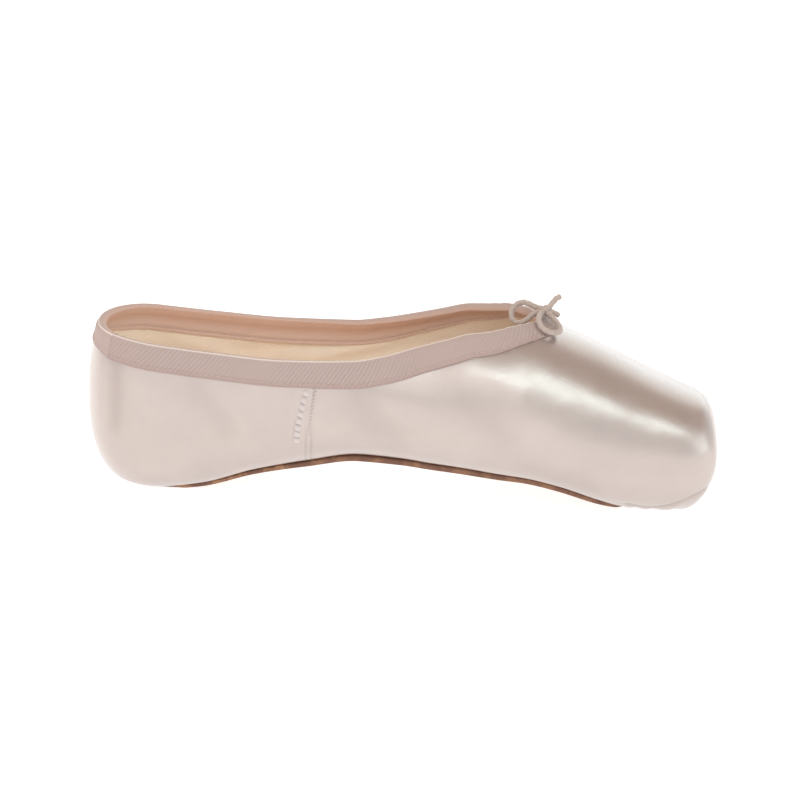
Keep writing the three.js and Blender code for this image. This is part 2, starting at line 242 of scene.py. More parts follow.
class PointeColours(bpy.types.PropertyGroup):
    """Colours of the cloths, leather and cord."""

    satin: colour_setting("Satin", "Colour of the satin", (0.495, 0.417, 0.385))
    lining: colour_setting("Lining", "Colour of the cotton lining and sock", (0.98, 0.87, 0.75))
    tape: colour_setting("Tape", "Colour of the twill tape", (0.415, 0.318, 0.292))
    leather: colour_setting("Leather", "Colour of the sole's cut edge", (0.19, 0.088, 0.055))
    thread: colour_setting("Thread", "Colour of the sewing thread", (0.50, 0.37, 0.34))
    cord: colour_setting("Cord", "Colour of the drawstring", (0.47, 0.38, 0.335))


# Curves and the last's surface


def glide(stations, values, query):
    """Smooth curve through the rows: cubic steps whose slopes are harmonic means of the chords on both
    sides, so that it never overshoots a row. Rows of values give columns of the result."""
    steps = np.diff(stations)
    slopes = np.diff(values, axis=0) / steps[:, None]
    before, after = slopes[:-1], slopes[1:]
    weight_before = (2 * steps[1:] + steps[:-1])[:, None]
    weight_after = (steps[1:] + 2 * steps[:-1])[:, None]
    rising = before * after > 0
    safe_before = np.where(rising, before, 1.0)
    safe_after = np.where(rising, after, 1.0)
    mean = (weight_before + weight_after) / (weight_before / safe_before + weight_after / safe_after)
    tangents = np.zeros_like(values, dtype=float)
    tangents[1:-1] = np.where(rising, mean, 0.0)
    tangents[-1] = slopes[-1]
    query = np.clip(query, stations[0], stations[-1])
    i = np.clip(np.searchsorted(stations, query, side="right") - 1, 0, len(steps) - 1)
    t = ((query - stations[i]) / steps[i])[..., None]
    step = steps[i][..., None]
    ease = values[i] + (values[i + 1] - values[i]) * t * t * (3 - 2 * t)
    return ease + step * (t * (1 - t) ** 2 * tangents[i] + t * t * (t - 1) * tangents[i + 1])


def along(table, query):
    """One column of a two-column table, as a smooth function of the distance from the heel."""
    return glide(table[:, 0], table[:, 1:], np.asarray(query, float))[..., 0]


def smoothstep(low, high, value):
    """0 below low, 1 above high, and an even ease between them."""
    t = np.clip((value - low) / (high - low), 0.0, 1.0)
    return t * t * (3 - 2 * t)


def run_of(at):
    """Distance along the plan outline: round the heel's quarter circle, then straight to the toe."""
    at = np.asarray(at, float)
    fan = HEEL_RADIUS * np.arccos(np.clip(1 - at / HEEL_RADIUS, 0.0, 1.0))
    return np.where(at < HEEL_RADIUS, fan, HEEL_RADIUS * (math.pi / 2 - 1) + at)


LAST_RUN = run_of(LAST[:, 0])


def toe_turn(at, rounding):
    """How far an elliptical rounding has turned in: its depth times one less the ellipse's height."""
    length, depth = rounding
    t = np.clip((at - LENGTH + length) / length, 0.0, 1.0)
    return depth * (1 - np.sqrt(1 - t * t))


def section(run, at):
    """Sizes of the last at each run, the toe's rounding worked in."""
    columns = np.moveaxis(glide(LAST_RUN, LAST, np.asarray(run, float)), -1, 0)
    row = SimpleNamespace(**dict(zip(LAST_COLUMNS, columns)))
    row.base = row.base + toe_turn(at, TOE_UNDER)
    row.crown = row.crown - toe_turn(at, TOE_TOP)
    row.girth = row.girth - toe_turn(at, TOE_SIDE)
    row.seat = row.seat - toe_turn(at, TOE_SIDE)
    return row


def sole_section(at):
    """Sizes of the last over the sole, without the rise of its underside at the toe."""
    return section(run_of(at), np.minimum(at, LENGTH - TOE_UNDER[0]))


def wall_at(at):
    """Thickness of the upper's wall."""
    return section(run_of(at), at).wall


def steepness(row, out):
    """How steeply the profile above the belly falls outwards at a half width."""
    widest = 0.999
    share = np.clip(out / row.girth, 0.0, widest)
    bend = (1 - share**row.high) ** (1 / row.high - 1)
    return (row.crown - row.belly) / row.girth * share ** (row.high - 1) * bend


def rim_out(row, at, turn):
    """Half width of the collar's rim: where the profile meets the collar's side line, eased into the
    throat's plan outline, and nothing in front of the throat."""
    line = along(COLLAR, at - HEEL_RADIUS * np.cos(turn))
    lift = np.clip((line - row.belly) / (row.crown - row.belly), 0.0, 1.0)
    side = row.girth * (1 - lift**row.high) ** (1 / row.high)
    share = np.clip((at - THROAT.start) / (THROAT.end - THROAT.start), 0.0, 1.0)
    front = THROAT.half * (1 - share**THROAT.roundness) ** (1 / THROAT.roundness)
    blend = smoothstep(*THROAT.ease, at)
    return side * (1 - blend) + front * blend


def stations(fan, straight, throat, vamp, toe):
    """Distance from the heel and turn of every section: a fan about the heel's centre, then square
    sections, closer together where the throat and the toe curve in. The counts give each stretch."""
    fan_turn = np.linspace(0, math.pi / 2, fan, endpoint=False)
    throat_angle = np.linspace(0, math.pi / 2, throat, endpoint=False)
    throat_reach = THROAT.end - THROAT.start
    toe_start = LENGTH - TOE_UNDER[0]
    toe_angle = np.linspace(0, math.pi / 2, toe)
    at = np.concatenate([
        np.full(fan, HEEL_RADIUS),
        np.linspace(HEEL_RADIUS, THROAT.start, straight, endpoint=False),
        THROAT.start + throat_reach * np.sin(throat_angle) ** (2 / THROAT.roundness),
        np.linspace(THROAT.end, toe_start, vamp, endpoint=False),
        toe_start + TOE_UNDER[0] * np.sin(toe_angle),
    ])
    turn = np.concatenate([fan_turn, np.full(len(at) - fan, math.pi / 2)])
    run = np.where(turn < math.pi / 2, HEEL_RADIUS * turn, run_of(at))
    return at, turn, run


def opening_out(at, turn):
    """Half width of the gap under the shoe, inside the turned-in margin."""
    heel = SOLE_ENDS.heel + TURNED_MARGIN
    toe = SOLE_ENDS.toe - TURNED_MARGIN
    share = np.clip((at - toe + SOLE_ENDS.toe_round) / SOLE_ENDS.toe_round, 0.0, 1.0)
    half = (along(SOLE, at) - TURNED_MARGIN) * np.sqrt(1 - share**2)
    return np.where(turn < math.pi / 2, HEEL_RADIUS - heel, half)


def half_surface(at, turn, run, inset, steps):
    """One side of the last from the margin under the shoe to the rim or the ridge: a flat, then a
    quarter of a rounded ellipse up to the belly, then another up to the crown. inset is the share of the
    wall by which it lies inside the last, and steps are those of the three parts."""
    row = section(run, at)
    shift = -inset * row.wall
    flat_count, low_count, high_count = steps
    girth = (row.girth + shift)[:, None]
    base = (row.base - shift)[:, None]
    crown = (row.crown + shift)[:, None]
    belly = row.belly[:, None]
    seat = row.seat[:, None]
    low = row.low[:, None]
    high = row.high[:, None]
    inner = opening_out(at, turn)[:, None]
    flat = np.linspace(0, 1, flat_count, endpoint=False)[None, :]
    flat_out = inner + (seat - inner) * flat
    angle = np.linspace(0, math.pi / 2, low_count, endpoint=False)[None, :]
    low_out = seat + (girth - seat) * np.sin(angle) ** (2 / low)
    low_up = belly - (belly - base) * np.cos(angle) ** (2 / low)
    rim = rim_out(row, at, turn)
    rise = steepness(row, rim)
    rim = np.maximum(0.0, rim + np.minimum(shift, 0.0) * rise / np.hypot(1, rise))[:, None]
    rim_angle = np.arccos(np.clip(rim / girth, 0.0, 1.0) ** (high / 2))
    angle = rim_angle * np.linspace(0, 1, high_count)[None, :]
    outward = girth * np.clip(np.cos(angle), 0, 1) ** (2 / high)
    high_out = np.where(np.cos(angle) < SAME_PLACE, 0.0, outward)
    high_up = belly + (crown - belly) * np.sin(angle) ** (2 / high)
    out = np.concatenate([flat_out, low_out, high_out], 1)
    up = np.concatenate([np.broadcast_to(base, flat_out.shape), low_up, high_up], 1)
    toe_share = smoothstep(LENGTH - 2 * TOE_UNDER[0], LENGTH, at)
    centre = (at + shift * toe_share - LENGTH / 2)[:, None]
    x = centre - out * np.cos(turn)[:, None]
    y = out * np.sin(turn)[:, None]
    return np.stack([x, y, up], -1)


def both_sides(half):
    """Far side from toe to heel, then near side from heel to toe, as one grid with no seam at the heel."""
    return np.concatenate([half[::-1], half[1:] * FLIP], 0)


def section_of(points):
    """Section that each point above the belly lies in, with its half width and height over the belly."""
    x = points[..., 0] + LENGTH / 2
    y = points[..., 1]
    behind = x < HEEL_RADIUS
    turn = np.where(behind, np.arctan2(np.abs(y), HEEL_RADIUS - x), math.pi / 2)
    run = np.where(behind, HEEL_RADIUS * turn, run_of(np.maximum(x, HEEL_RADIUS)))
    row = section(run, np.maximum(x, HEEL_RADIUS))
    out = np.where(behind, np.hypot(HEEL_RADIUS - x, y), np.abs(y))
    return row, turn, out, points[..., 2] - row.belly


def reach_of(points):
    """Rounded distance from the belly's middle: the powers of a point's two shares of the profile, added
    up and rooted. It is 1 on the last."""
    row, _, out, up = section_of(points)
    rise = np.maximum(up / (row.crown - row.belly), LEAST_RISE)
    return ((out / row.girth) ** row.high + rise**row.high) ** (1 / row.high)


def on_last(points):
    """Points above the belly, drawn in their own section straight to or from the belly's middle until
    they lie on the last."""
    row, turn, out, up = section_of(points)
    reach = reach_of(points)
    x = points[..., 0] + LENGTH / 2
    behind = x < HEEL_RADIUS
    out = out / reach
    side = np.where(points[..., 1] < 0, -1.0, 1.0)
    x = np.where(behind, HEEL_RADIUS - out * np.cos(turn), x)
    return np.stack([x - LENGTH / 2, side * out * np.sin(turn), row.belly + up / reach], -1)


def last_normals(points):
    """Directions out of the last: the slope of the rounded distance, by central differences."""
    step = 0.05
    slope = [reach_of(points + step * axis) - reach_of(points - step * axis) for axis in np.eye(3)]
    return unit(np.stack(slope, -1))


# Meshes from arrays


def grid_faces(rows, columns, start=0, loop_rows=False, loop_columns=False):
    """Quads between neighbouring rows and columns of a grid, which may close on itself either way."""
    row = np.arange(rows if loop_rows else rows - 1)
    column = np.arange(columns if loop_columns else columns - 1)
    i, j = np.meshgrid(row, column, indexing="ij")
    next_i = (i + 1) % rows
    next_j = (j + 1) % columns
    corners = [i * columns + j, next_i * columns + j, next_i * columns + next_j, i * columns + next_j]
    return np.stack(corners, -1).reshape(-1, 4) + start


def strip_faces(first, second):
    """Quads between two rows of vertex numbers of the same length."""
    return np.stack([first[:-1], first[1:], second[1:], second[:-1]], -1)


def unit(vectors):
    """Vectors of length one."""
    return vectors / np.maximum(np.linalg.norm(vectors, axis=-1, keepdims=True), LEAST_LENGTH)


def normals_of(grid):
    """Unit normals of a grid of points: the cross product of its two directions."""
    return unit(np.cross(np.gradient(grid, axis=0), np.gradient(grid, axis=1)))


def loop_headings(loop):
    """Directions along a closed loop: from the point before each to the point after it."""
    return unit(np.roll(loop, -1, 0) - np.roll(loop, 1, 0))


def distance_along(line):
    """Distance from a line's first point to each of its points: its steps, added up."""
    return np.concatenate([[0], np.cumsum(np.linalg.norm(np.diff(line, axis=0), axis=1))])


def points_at(places, distance, line):
    """Points of a line at given distances along it, straight between its own."""
    return np.stack([np.interp(places, distance, line[:, k]) for k in range(3)], -1)


def full_turn(count):
    """Even angles round a circle."""
    return np.linspace(0, 2 * math.pi, count, endpoint=False)


def paired(first, second):
    """Two arrays stretched to one shape, as pairs."""
    return np.stack(np.broadcast_arrays(first, second), -1)


# Points merged and edges dropped below these, in metres
MERGE_DISTANCE = 2e-6
SHORTEST_EDGE = 1e-7


def build_mesh(name, points, faces, materials, maps=None, parts=None, closed=True):
    """Object at the origin from points in millimetres and quads; equal points are merged, and a closed
    form has its faces turned outwards. parts gives each face's material."""
    mesh = bpy.data.meshes.new(name)
    points = np.asarray(points, float).reshape(-1, 3) * MM
    mesh.vertices.add(len(points))
    mesh.vertices.foreach_set("co", points.ravel())
    mesh.loops.add(faces.size)
    mesh.loops.foreach_set("vertex_index", faces.ravel().astype(np.int32))
    mesh.polygons.add(len(faces))
    mesh.polygons.foreach_set("loop_start", np.arange(0, faces.size, 4, dtype=np.int32))
    mesh.polygons.foreach_set("use_smooth", np.ones(len(faces), bool))
    if parts is not None:
        mesh.polygons.foreach_set("material_index", parts.astype(np.int32))
    for layer_name, uv in (maps or {}).items():
        layer = mesh.uv_layers.new(name=layer_name)
        layer.data.foreach_set("uv", np.asarray(uv, float).reshape(-1, 2)[faces.ravel()].ravel())
    mesh.update(calc_edges=True)
    for material in materials:
        mesh.materials.append(material)
    form = bmesh.new()
    form.from_mesh(mesh)
    bmesh.ops.remove_doubles(form, verts=form.verts, dist=MERGE_DISTANCE)
    bmesh.ops.dissolve_degenerate(form, edges=form.edges, dist=SHORTEST_EDGE)
    if closed:
        bmesh.ops.recalc_face_normals(form, faces=form.faces)
    form.to_mesh(mesh)
    form.free()
    made = bpy.data.objects.new(name, mesh)
    bpy.context.scene.collection.objects.link(made)
    return made


def dress(piece, slot, *nodes):
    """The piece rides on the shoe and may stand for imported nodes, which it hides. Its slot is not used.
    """
    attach(piece, BODY)
    if nodes:
        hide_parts(*nodes)
    return piece


def smooth_route(points, count):
    """Curve through points at even steps: cubic between them, its slope at each point the chord between
    its neighbours, measured by chord length."""
    steps_each = 12
    chord = distance_along(points)
    slope = np.gradient(points, chord, axis=0)
    dense = np.linspace(0, chord[-1], steps_each * len(points))
    i = np.clip(np.searchsorted(chord, dense, side="right") - 1, 0, len(chord) - 2)
    step = (chord[i + 1] - chord[i])[:, None]
    t = ((dense - chord[i])[:, None]) / step
    ease = points[i] + (points[i + 1] - points[i]) * t * t * (3 - 2 * t)
    curve = ease + step * (t * (1 - t) ** 2 * slope[i] + t * t * (t - 1) * slope[i + 1])
    length = distance_along(curve)
    return points_at(np.linspace(0, length[-1], count), length, curve), length[-1]


def carried_frames(path):
    """Two directions square to a path that turn as little as they can from point to point: each is the
    one before it, less its part along the path."""
    aslant = [0.31, 0.22, 0.92]
    tangent = unit(np.gradient(path, axis=0))
    across = np.empty_like(path)
    across[0] = unit(np.cross(tangent[0], aslant))
    for i in range(1, len(path)):
        kept = across[i - 1] - tangent[i] * (across[i - 1] @ tangent[i])
        across[i] = kept / np.linalg.norm(kept)
    return across, np.cross(tangent, across)


# Materials

# Pitch of the twill's ribs in metres and their slant, and where the satin's two seam lines run
TWILL_PITCH = 0.00165
TWILL_SLANT = 0.72
SEAM_LINES = (86.2, 84.2)

# Colours beside those that a user may change, and how much paler the tape's lap is
WHITE = (1.0, 1.0, 1.0)
# Painted shade: the tone the satin takes in its deepest hollows
SATIN_HOLLOW_SHADE = (0.76, 0.73, 0.72)
WARM_LINING = (0.96, 0.80, 0.64)
# Painted shade with warm bounce light from the lining, on the tape's inside face
INSIDE_TAPE_SHADE_AND_BOUNCE = (0.66, 0.41, 0.30)
# Painted light: the inside face's lower stretch, lighter
INSIDE_TAPE_LOWER_LIT = (0.74, 0.55, 0.47)
# Painted highlight along the top of the fold
FOLD_HIGHLIGHT_TAPE = (0.82, 0.72, 0.65)
# Painted reddish shadow at the outer face's lower edge; the row of stitches is darkened with it too
EDGE_SHADOW_AND_STITCH_ROW = (0.36, 0.245, 0.22)
PALER_LAP = 1.05
# Painted warm bounce light from the lining: the inside row's thread, warmer and lighter than outside
INSIDE_THREAD_BOUNCE_LIGHT = (0.62, 0.44, 0.36)
# Painted highlight: the raised seam puffs, paler than the satin-coloured thread beside them
PUFF_THREAD_HIGHLIGHT = (0.62, 0.545, 0.53)
BARE_LEATHER = (0.47, 0.25, 0.13)
DARK_NAP = (0.30, 0.17, 0.10)
PALE_NAP = (0.48, 0.31, 0.20)
WORN_NAP = (0.36, 0.22, 0.14)
FLOOR_TONES = ((0.47, 0.47, 0.47), (0.50, 0.50, 0.50))
OVERHEAD = (1.0, 0.74, 0.60)


def fill_inputs(tree, node, inputs):
    """Gives a node's inputs their values, or links them to sockets."""
    for name, value in inputs.items():
        if isinstance(value, bpy.types.NodeSocket):
            tree.links.new(value, node.inputs[name])
        else:
            node.inputs[name].default_value = value


def add_node(tree, kind, inputs=None, **settings):
    """Node with its settings and inputs."""
    made = tree.nodes.new(kind)
    for name, value in settings.items():
        setattr(made, name, value)
    fill_inputs(tree, made, inputs or {})
    return made


def mix_colour(tree, factor, first, second, blend="MIX"):
    """Colour between two, by a factor."""
    inputs = {0: factor, 6: first, 7: second}
    return add_node(tree, "ShaderNodeMix", inputs, data_type="RGBA", blend_type=blend).outputs[2]


def maths(tree, operation, *values):
    """One arithmetic step on values or sockets."""
    return add_node(tree, "ShaderNodeMath", dict(enumerate(values)), operation=operation).outputs[0]


def ramp(tree, value, reach, levels):
    """Value carried evenly from its reach to two levels, and held at them beyond it."""
    return add_node(tree, "ShaderNodeMapRange", dict(enumerate((value, *reach, *levels)))).outputs[0]


def noise(tree, vector, scale, detail, roughness=0.5):
    """Noise between 0 and 1, finer for a larger scale."""
    inputs = {"Vector": vector, "Scale": scale, "Detail": detail, "Roughness": roughness}
    return add_node(tree, "ShaderNodeTexNoise", inputs).outputs[0]


def bump(tree, height, strength, distance, **earlier):
    """Normal tilted by the slope of a height, on top of an earlier normal where one is given."""
    inputs = {"Height": height, "Strength": strength, "Distance": distance, **earlier}
    return add_node(tree, "ShaderNodeBump", inputs).outputs[0]


def channel(tree, vector, number):
    """One of a vector's three values."""
    return add_node(tree, "ShaderNodeSeparateXYZ", {0: vector}).outputs[number]


def coordinates(tree, kind):
    """Texture coordinates of one kind."""
    return add_node(tree, "ShaderNodeTexCoord").outputs[kind]


def named_map(tree, name):
    """Coordinates from one of a mesh's UV maps."""
    return add_node(tree, "ShaderNodeUVMap", uv_map=name).outputs[0]


def start_material(name):
    """Empty material with a shader and its output."""
    material = bpy.data.materials.new(name)
    material.use_nodes = True
    tree = material.node_tree
    tree.nodes.clear()
    shader = add_node(tree, "ShaderNodeBsdfPrincipled")
    add_node(tree, "ShaderNodeOutputMaterial", {"Surface": shader.outputs[0]})
    return material, tree, shader


def opaque(colour):
    """Colour with full alpha."""
    return (*colour, 1.0)


def scaled(colour, factor):
    """Colour made lighter or darker, with full alpha."""
    return opaque([min(1.0, value * factor) for value in colour])


def material_for(maker, name, colour):
    """A material made once and shared."""
    return bpy.data.materials.get(name) or maker(name, colour)


def cloth_grain_group():
    """Shared effect of threads and slubs. Height is warp times weft, each a sine across its pitch, broken
    by long noise; Shade is slow noise between 0 and 1."""
    name = "cloth_grain"
    if name in bpy.data.node_groups:
        return bpy.data.node_groups[name]
    group = bpy.data.node_groups.new(name, "ShaderNodeTree")
    sockets = (
        ("Vector", "INPUT", "NodeSocketVector"),
        ("Threads per metre", "INPUT", "NodeSocketFloat"),
        ("Patch scale", "INPUT", "NodeSocketFloat"),
        ("Height", "OUTPUT", "NodeSocketFloat"),
        ("Shade", "OUTPUT", "NodeSocketFloat"),
    )
    for label, way, kind in sockets:
        group.interface.new_socket(label, in_out=way, socket_type=kind)
    given = add_node(group, "NodeGroupInput").outputs
    turn = maths(group, "MULTIPLY", given["Threads per metre"], 2 * math.pi)
    warp, weft = (
        maths(group, "SINE", maths(group, "MULTIPLY", channel(group, given["Vector"], number), turn))
        for number in (0, 1)
    )
    woven = maths(group, "MULTIPLY", maths(group, "MULTIPLY", warp, weft), 0.5)
    slub = noise(group, given["Vector"], scale=2600.0, detail=2.0)
    patch = noise(group, given["Vector"], scale=given["Patch scale"], detail=4.0, roughness=0.6)
    add_node(group, "NodeGroupOutput", {"Height": maths(group, "ADD", woven, slub), "Shade": patch})
    return group


def grain_in(tree, vector, threads, patch):
    """Cloth grain placed in a material with its own pitch and patch size."""
    inputs = {"Vector": vector, "Threads per metre": threads, "Patch scale": patch}
    made = add_node(tree, "ShaderNodeGroup", inputs, node_tree=cloth_grain_group())
    return made.outputs["Height"], made.outputs["Shade"]


def satin_material(name, colour):
    """Satin: long floats give a soft tinted gloss, mottled where the cloth lies unevenly. Shade is painted
    into its hollows, and it is darker, low down, along the side seam's two lines."""
    material, tree, shader = start_material(name)
    place = coordinates(tree, "Object")
    cloth = coordinates(tree, "UV")
    height, shade = grain_in(tree, cloth, threads=3200.0, patch=45.0)
    mottle = noise(tree, place, scale=620.0, detail=3.0, roughness=0.6)
    tone = mix_colour(tree, shade, scaled(colour, 0.90), scaled(colour, 1.08))
    # Painted shade in hollows: the relief map darkens the satin where it lies low
    painted_hollow_shade = channel(tree, named_map(tree, "relief"), 0)
    shaded = mix_colour(tree, painted_hollow_shade, opaque(SATIN_HOLLOW_SHADE), opaque(WHITE))
    shade_painted_tone = mix_colour(tree, 1.0, tone, shaded, "MULTIPLY")
    run = maths(tree, "ABSOLUTE", channel(tree, cloth, 0))
    lines = []
    for place_at in SEAM_LINES:
        apart = maths(tree, "ABSOLUTE", maths(tree, "SUBTRACT", run, float(run_of(place_at)) * MM))
        lines.append(ramp(tree, apart, (0.0001, 0.0006), (1.0, 0.0)))
    low = ramp(tree, channel(tree, place, 2), (0.024, 0.034), (0.45, 0.06))
    seam = maths(tree, "MULTIPLY", maths(tree, "MAXIMUM", *lines), low)
    uneven = bump(tree, mottle, strength=0.25, distance=0.0002)
    fill_inputs(tree, shader, {
        "Base Color": mix_colour(tree, seam, shade_painted_tone, scaled(colour, 0.6)),
        "Roughness": ramp(tree, mottle, (0.3, 0.7), (0.30, 0.40)),
        "Normal": bump(tree, height, strength=0.1, distance=0.00003, Normal=uneven),
        "Metallic": 0.7,
        "Coat Weight": 0.9,
        "Coat IOR": 1.9,
        "Coat Roughness": 0.27,
    })
    return material


def lining_material(name, colour):
    """Cotton drill: matt, with visible threads and slow blotches."""
    material, tree, shader = start_material(name)
    height, shade = grain_in(tree, coordinates(tree, "UV"), threads=900.0, patch=60.0)
    blotch = noise(tree, coordinates(tree, "Object"), scale=35.0, detail=3.0)
    tone = mix_colour(tree, shade, scaled(colour, 0.88), scaled(colour, 1.06))
    fill_inputs(tree, shader, {
        "Base Color": mix_colour(tree, blotch, tone, opaque(WARM_LINING)),
        "Normal": bump(tree, height, strength=0.4, distance=0.0002),
        "Roughness": 0.88,
    })
    return material


def tape_material(name, colour):
    """Twill tape: slanting ribs across the width, darker between them. A highlight is painted along the
    fold and a reddish shadow at the outer face's lower edge; it is darker along the stitches, and on the
    inside it has painted shade with warm bounce light from the lining, painted lighter lower down."""
    material, tree, shader = start_material(name)
    cloth = named_map(tree, "cloth")
    share = channel(tree, named_map(tree, "band"), 1)
    height, shade = grain_in(tree, cloth, threads=1500.0, patch=70.0)
    sideways = maths(tree, "MULTIPLY", channel(tree, cloth, 1), TWILL_SLANT)
    slant = maths(tree, "SUBTRACT", channel(tree, cloth, 0), sideways)
    wave = maths(tree, "SINE", maths(tree, "MULTIPLY", slant, 2 * math.pi / TWILL_PITCH))
    rib = ramp(tree, wave, (-1.0, 1.0), (0.0, 1.0))
    kept = ramp(tree, noise(tree, cloth, scale=32.0, detail=2.0), (0.42, 0.60), (0.2, 1.0))
    tone = mix_colour(tree, rib, scaled(colour, 0.90), scaled(colour, 1.06))
    tone = mix_colour(tree, kept, opaque(colour), tone)
    tone = mix_colour(tree, maths(tree, "MULTIPLY", shade, 0.35), tone, scaled(colour, 1.15))
    # Mask of the painted highlight along the fold's top
    fold = maths(tree, "ABSOLUTE", maths(tree, "ADD", share, 0.10))
    stitches = maths(tree, "ABSOLUTE", maths(tree, "SUBTRACT", maths(tree, "ABSOLUTE", share), 0.94))
    # Painted light across the tape, one stretch after another: shade with warm bounce on the inside,
    # lighter on its lower stretch, a highlight along the fold, a reddish shadow at the outer face's lower
    # edge, and darker along the stitch row
    stretches = (
        (share, (-0.06, 0.12), (0.0, 0.92), INSIDE_TAPE_SHADE_AND_BOUNCE),
        (share, (0.40, 0.75), (0.0, 0.75), INSIDE_TAPE_LOWER_LIT),
        (fold, (0.01, 0.05), (0.7, 0.0), FOLD_HIGHLIGHT_TAPE),
        (share, (-1.0, -1.1), (0.0, 0.7), EDGE_SHADOW_AND_STITCH_ROW),
        (stitches, (0.02, 0.07), (0.28, 0.0), EDGE_SHADOW_AND_STITCH_ROW),
    )
    for across, reach, levels, stain in stretches:
        tone = mix_colour(tree, ramp(tree, across, reach, levels), tone, opaque(stain))
    calm = ramp(tree, share, (0.0, 0.15), (1.0, 0.3))
    ribs = maths(tree, "MULTIPLY", rib, maths(tree, "MULTIPLY", calm, kept))
    relief = maths(tree, "ADD", ribs, maths(tree, "MULTIPLY", height, 0.3))
    fill_inputs(tree, shader, {
        "Base Color": tone,
        "Normal": bump(tree, relief, strength=0.4, distance=0.0003),
        "Roughness": 0.72,
        "Sheen Weight": 0.1,
    })
    return material


def thread_material(name, colour):
    """Sewing thread or soft cord: twisted strands along its length."""
    material, tree, shader = start_material(name)
    height, shade = grain_in(tree, coordinates(tree, "UV"), threads=1200.0, patch=300.0)
    fill_inputs(tree, shader, {
        "Base Color": mix_colour(tree, shade, scaled(colour, 0.85), scaled(colour, 1.12)),
        "Normal": bump(tree, height, strength=0.5, distance=0.0002),
        "Roughness": 0.75,
        "Sheen Weight": 0.2,
    })
    return material


def leather_material(name, colour):
    """Sole leather: dark sealed edge, rubbed bare in streaks towards the heel, paler nap underneath, and
    fine grain."""
    material, tree, shader = start_material(name)
    place = coordinates(tree, "Object")
    underside = channel(tree, coordinates(tree, "UV"), 1)
    grain = add_node(tree, "ShaderNodeTexVoronoi", {"Vector": place, "Scale": 1500.0}).outputs[0]
    nap = noise(tree, place, scale=420.0, detail=6.0, roughness=0.7)
    blotch = noise(tree, place, scale=60.0, detail=3.0)
    streak = noise(tree, place, scale=140.0, detail=4.0, roughness=0.65)
    dark = mix_colour(tree, nap, scaled(colour, 0.65), scaled(colour, 1.3))
    tan = mix_colour(tree, nap, opaque(DARK_NAP), opaque(PALE_NAP))
    worn = mix_colour(tree, blotch, tan, opaque(WORN_NAP))
    heelward = ramp(tree, channel(tree, place, 0), (-0.02, -0.05), (0.4, 1.0))
    bare = maths(tree, "MULTIPLY", ramp(tree, streak, (0.46, 0.62), (0.0, 0.9)), heelward)
    sealed = mix_colour(tree, bare, dark, opaque(BARE_LEATHER))
    relief = maths(tree, "ADD", grain, maths(tree, "MULTIPLY", nap, 0.8))
    fill_inputs(tree, shader, {
        "Base Color": mix_colour(tree, underside, sealed, worn),
        "Normal": bump(tree, relief, strength=0.35, distance=0.0003),
        "Roughness": 0.72,
    })
    return material


def floor_material():
    """Plain pale floor, hardly uneven, that glows a little."""
    material, tree, shader = start_material("floor")
    grain = noise(tree, coordinates(tree, "Object"), scale=3.0, detail=2.0)
    fill_inputs(tree, shader, {
        "Base Color": mix_colour(tree, grain, *map(opaque, FLOOR_TONES)),
        "Roughness": 0.9,
        "Emission Color": opaque(WHITE),
        "Emission Strength": 0.84,
    })
    return material


# Stage

# The floor's half size, and how far it lies under the shoe
FLOOR_REACH = 4000.0
FLOOR_DROP = 0.05

# Lights: direction from the shoe, distance and size in metres, power, colour, and roll
SOFTBOXES = (
    ("key", (0.34, -0.645, 0.685), 1.2, (1.15, 0.33), 3.6, (0.76, 0.98, 1.0), 0.14),
    ("back", (0.35, 0.82, 0.45), 1.2, (0.80, 1.0), 2.2, (0.84, 0.98, 1.0), 0.0),
    ("fill", (-0.35, -0.80, 0.48), 1.6, (1.4, 1.0), 3.4, (1.0, 1.0, 1.0), 0.0),
    ("top", (-0.50, 0.10, 0.86), 1.2, (0.5, 0.5), 4.5, (1.0, 0.97, 0.93), 0.0),
    ("side", (0.93, -0.27, 0.28), 1.2, (0.6, 0.6), 1.3, (0.84, 0.97, 1.0), 0.0),
)


def camera_axes():
    """Right, up and back directions of the photograph's camera, rolled about its line of sight."""
    tilt = VIEW.elevation
    back = np.array([0.0, -math.cos(tilt), math.sin(tilt)])
    right = np.array([1.0, 0.0, 0.0])
    up = np.cross(back, right)
    turned_right = math.cos(VIEW.roll) * right + math.sin(VIEW.roll) * up
    turned_up = -math.sin(VIEW.roll) * right + math.cos(VIEW.roll) * up
    return turned_right, turned_up, back


def add_softbox(name, direction, distance, size, power, colour, roll):
    """Area light that faces the shoe from a direction, rolled with its right end up."""
    light = bpy.data.lights.new(name, "AREA")
    light.shape = "RECTANGLE"
    light.size, light.size_y = size
    light.energy = power
    light.color = colour
    lamp = bpy.data.objects.new(name, light)
    target = Vector(VIEW.target * MM)
    lamp.location = target + Vector(direction).normalized() * distance
    facing = (target - lamp.location).to_track_quat("-Z", "Y")
    lamp.rotation_euler = (facing @ Quaternion((0, 0, 1), roll)).to_euler()
    bpy.context.scene.collection.objects.link(lamp)


def add_camera(scene):
    """The photograph's camera, with the lens that gives its scale at the shoe's middle."""
    right, up, back = camera_axes()
    lens = bpy.data.cameras.new("camera")
    pixels = VIEW.distance / MM / VIEW.mm_per_pixel
    lens.sensor_width = VIEW.sensor_mm
    lens.lens = pixels / VIEW.frame_pixels * VIEW.sensor_mm
    eye = bpy.data.objects.new("camera", lens)
    eye.matrix_world = Matrix(np.column_stack([right, up, back]).tolist()).to_4x4()
    eye.matrix_world.translation = Vector(VIEW.target * MM + back * VIEW.distance)
    scene.collection.objects.link(eye)
    scene.camera = eye


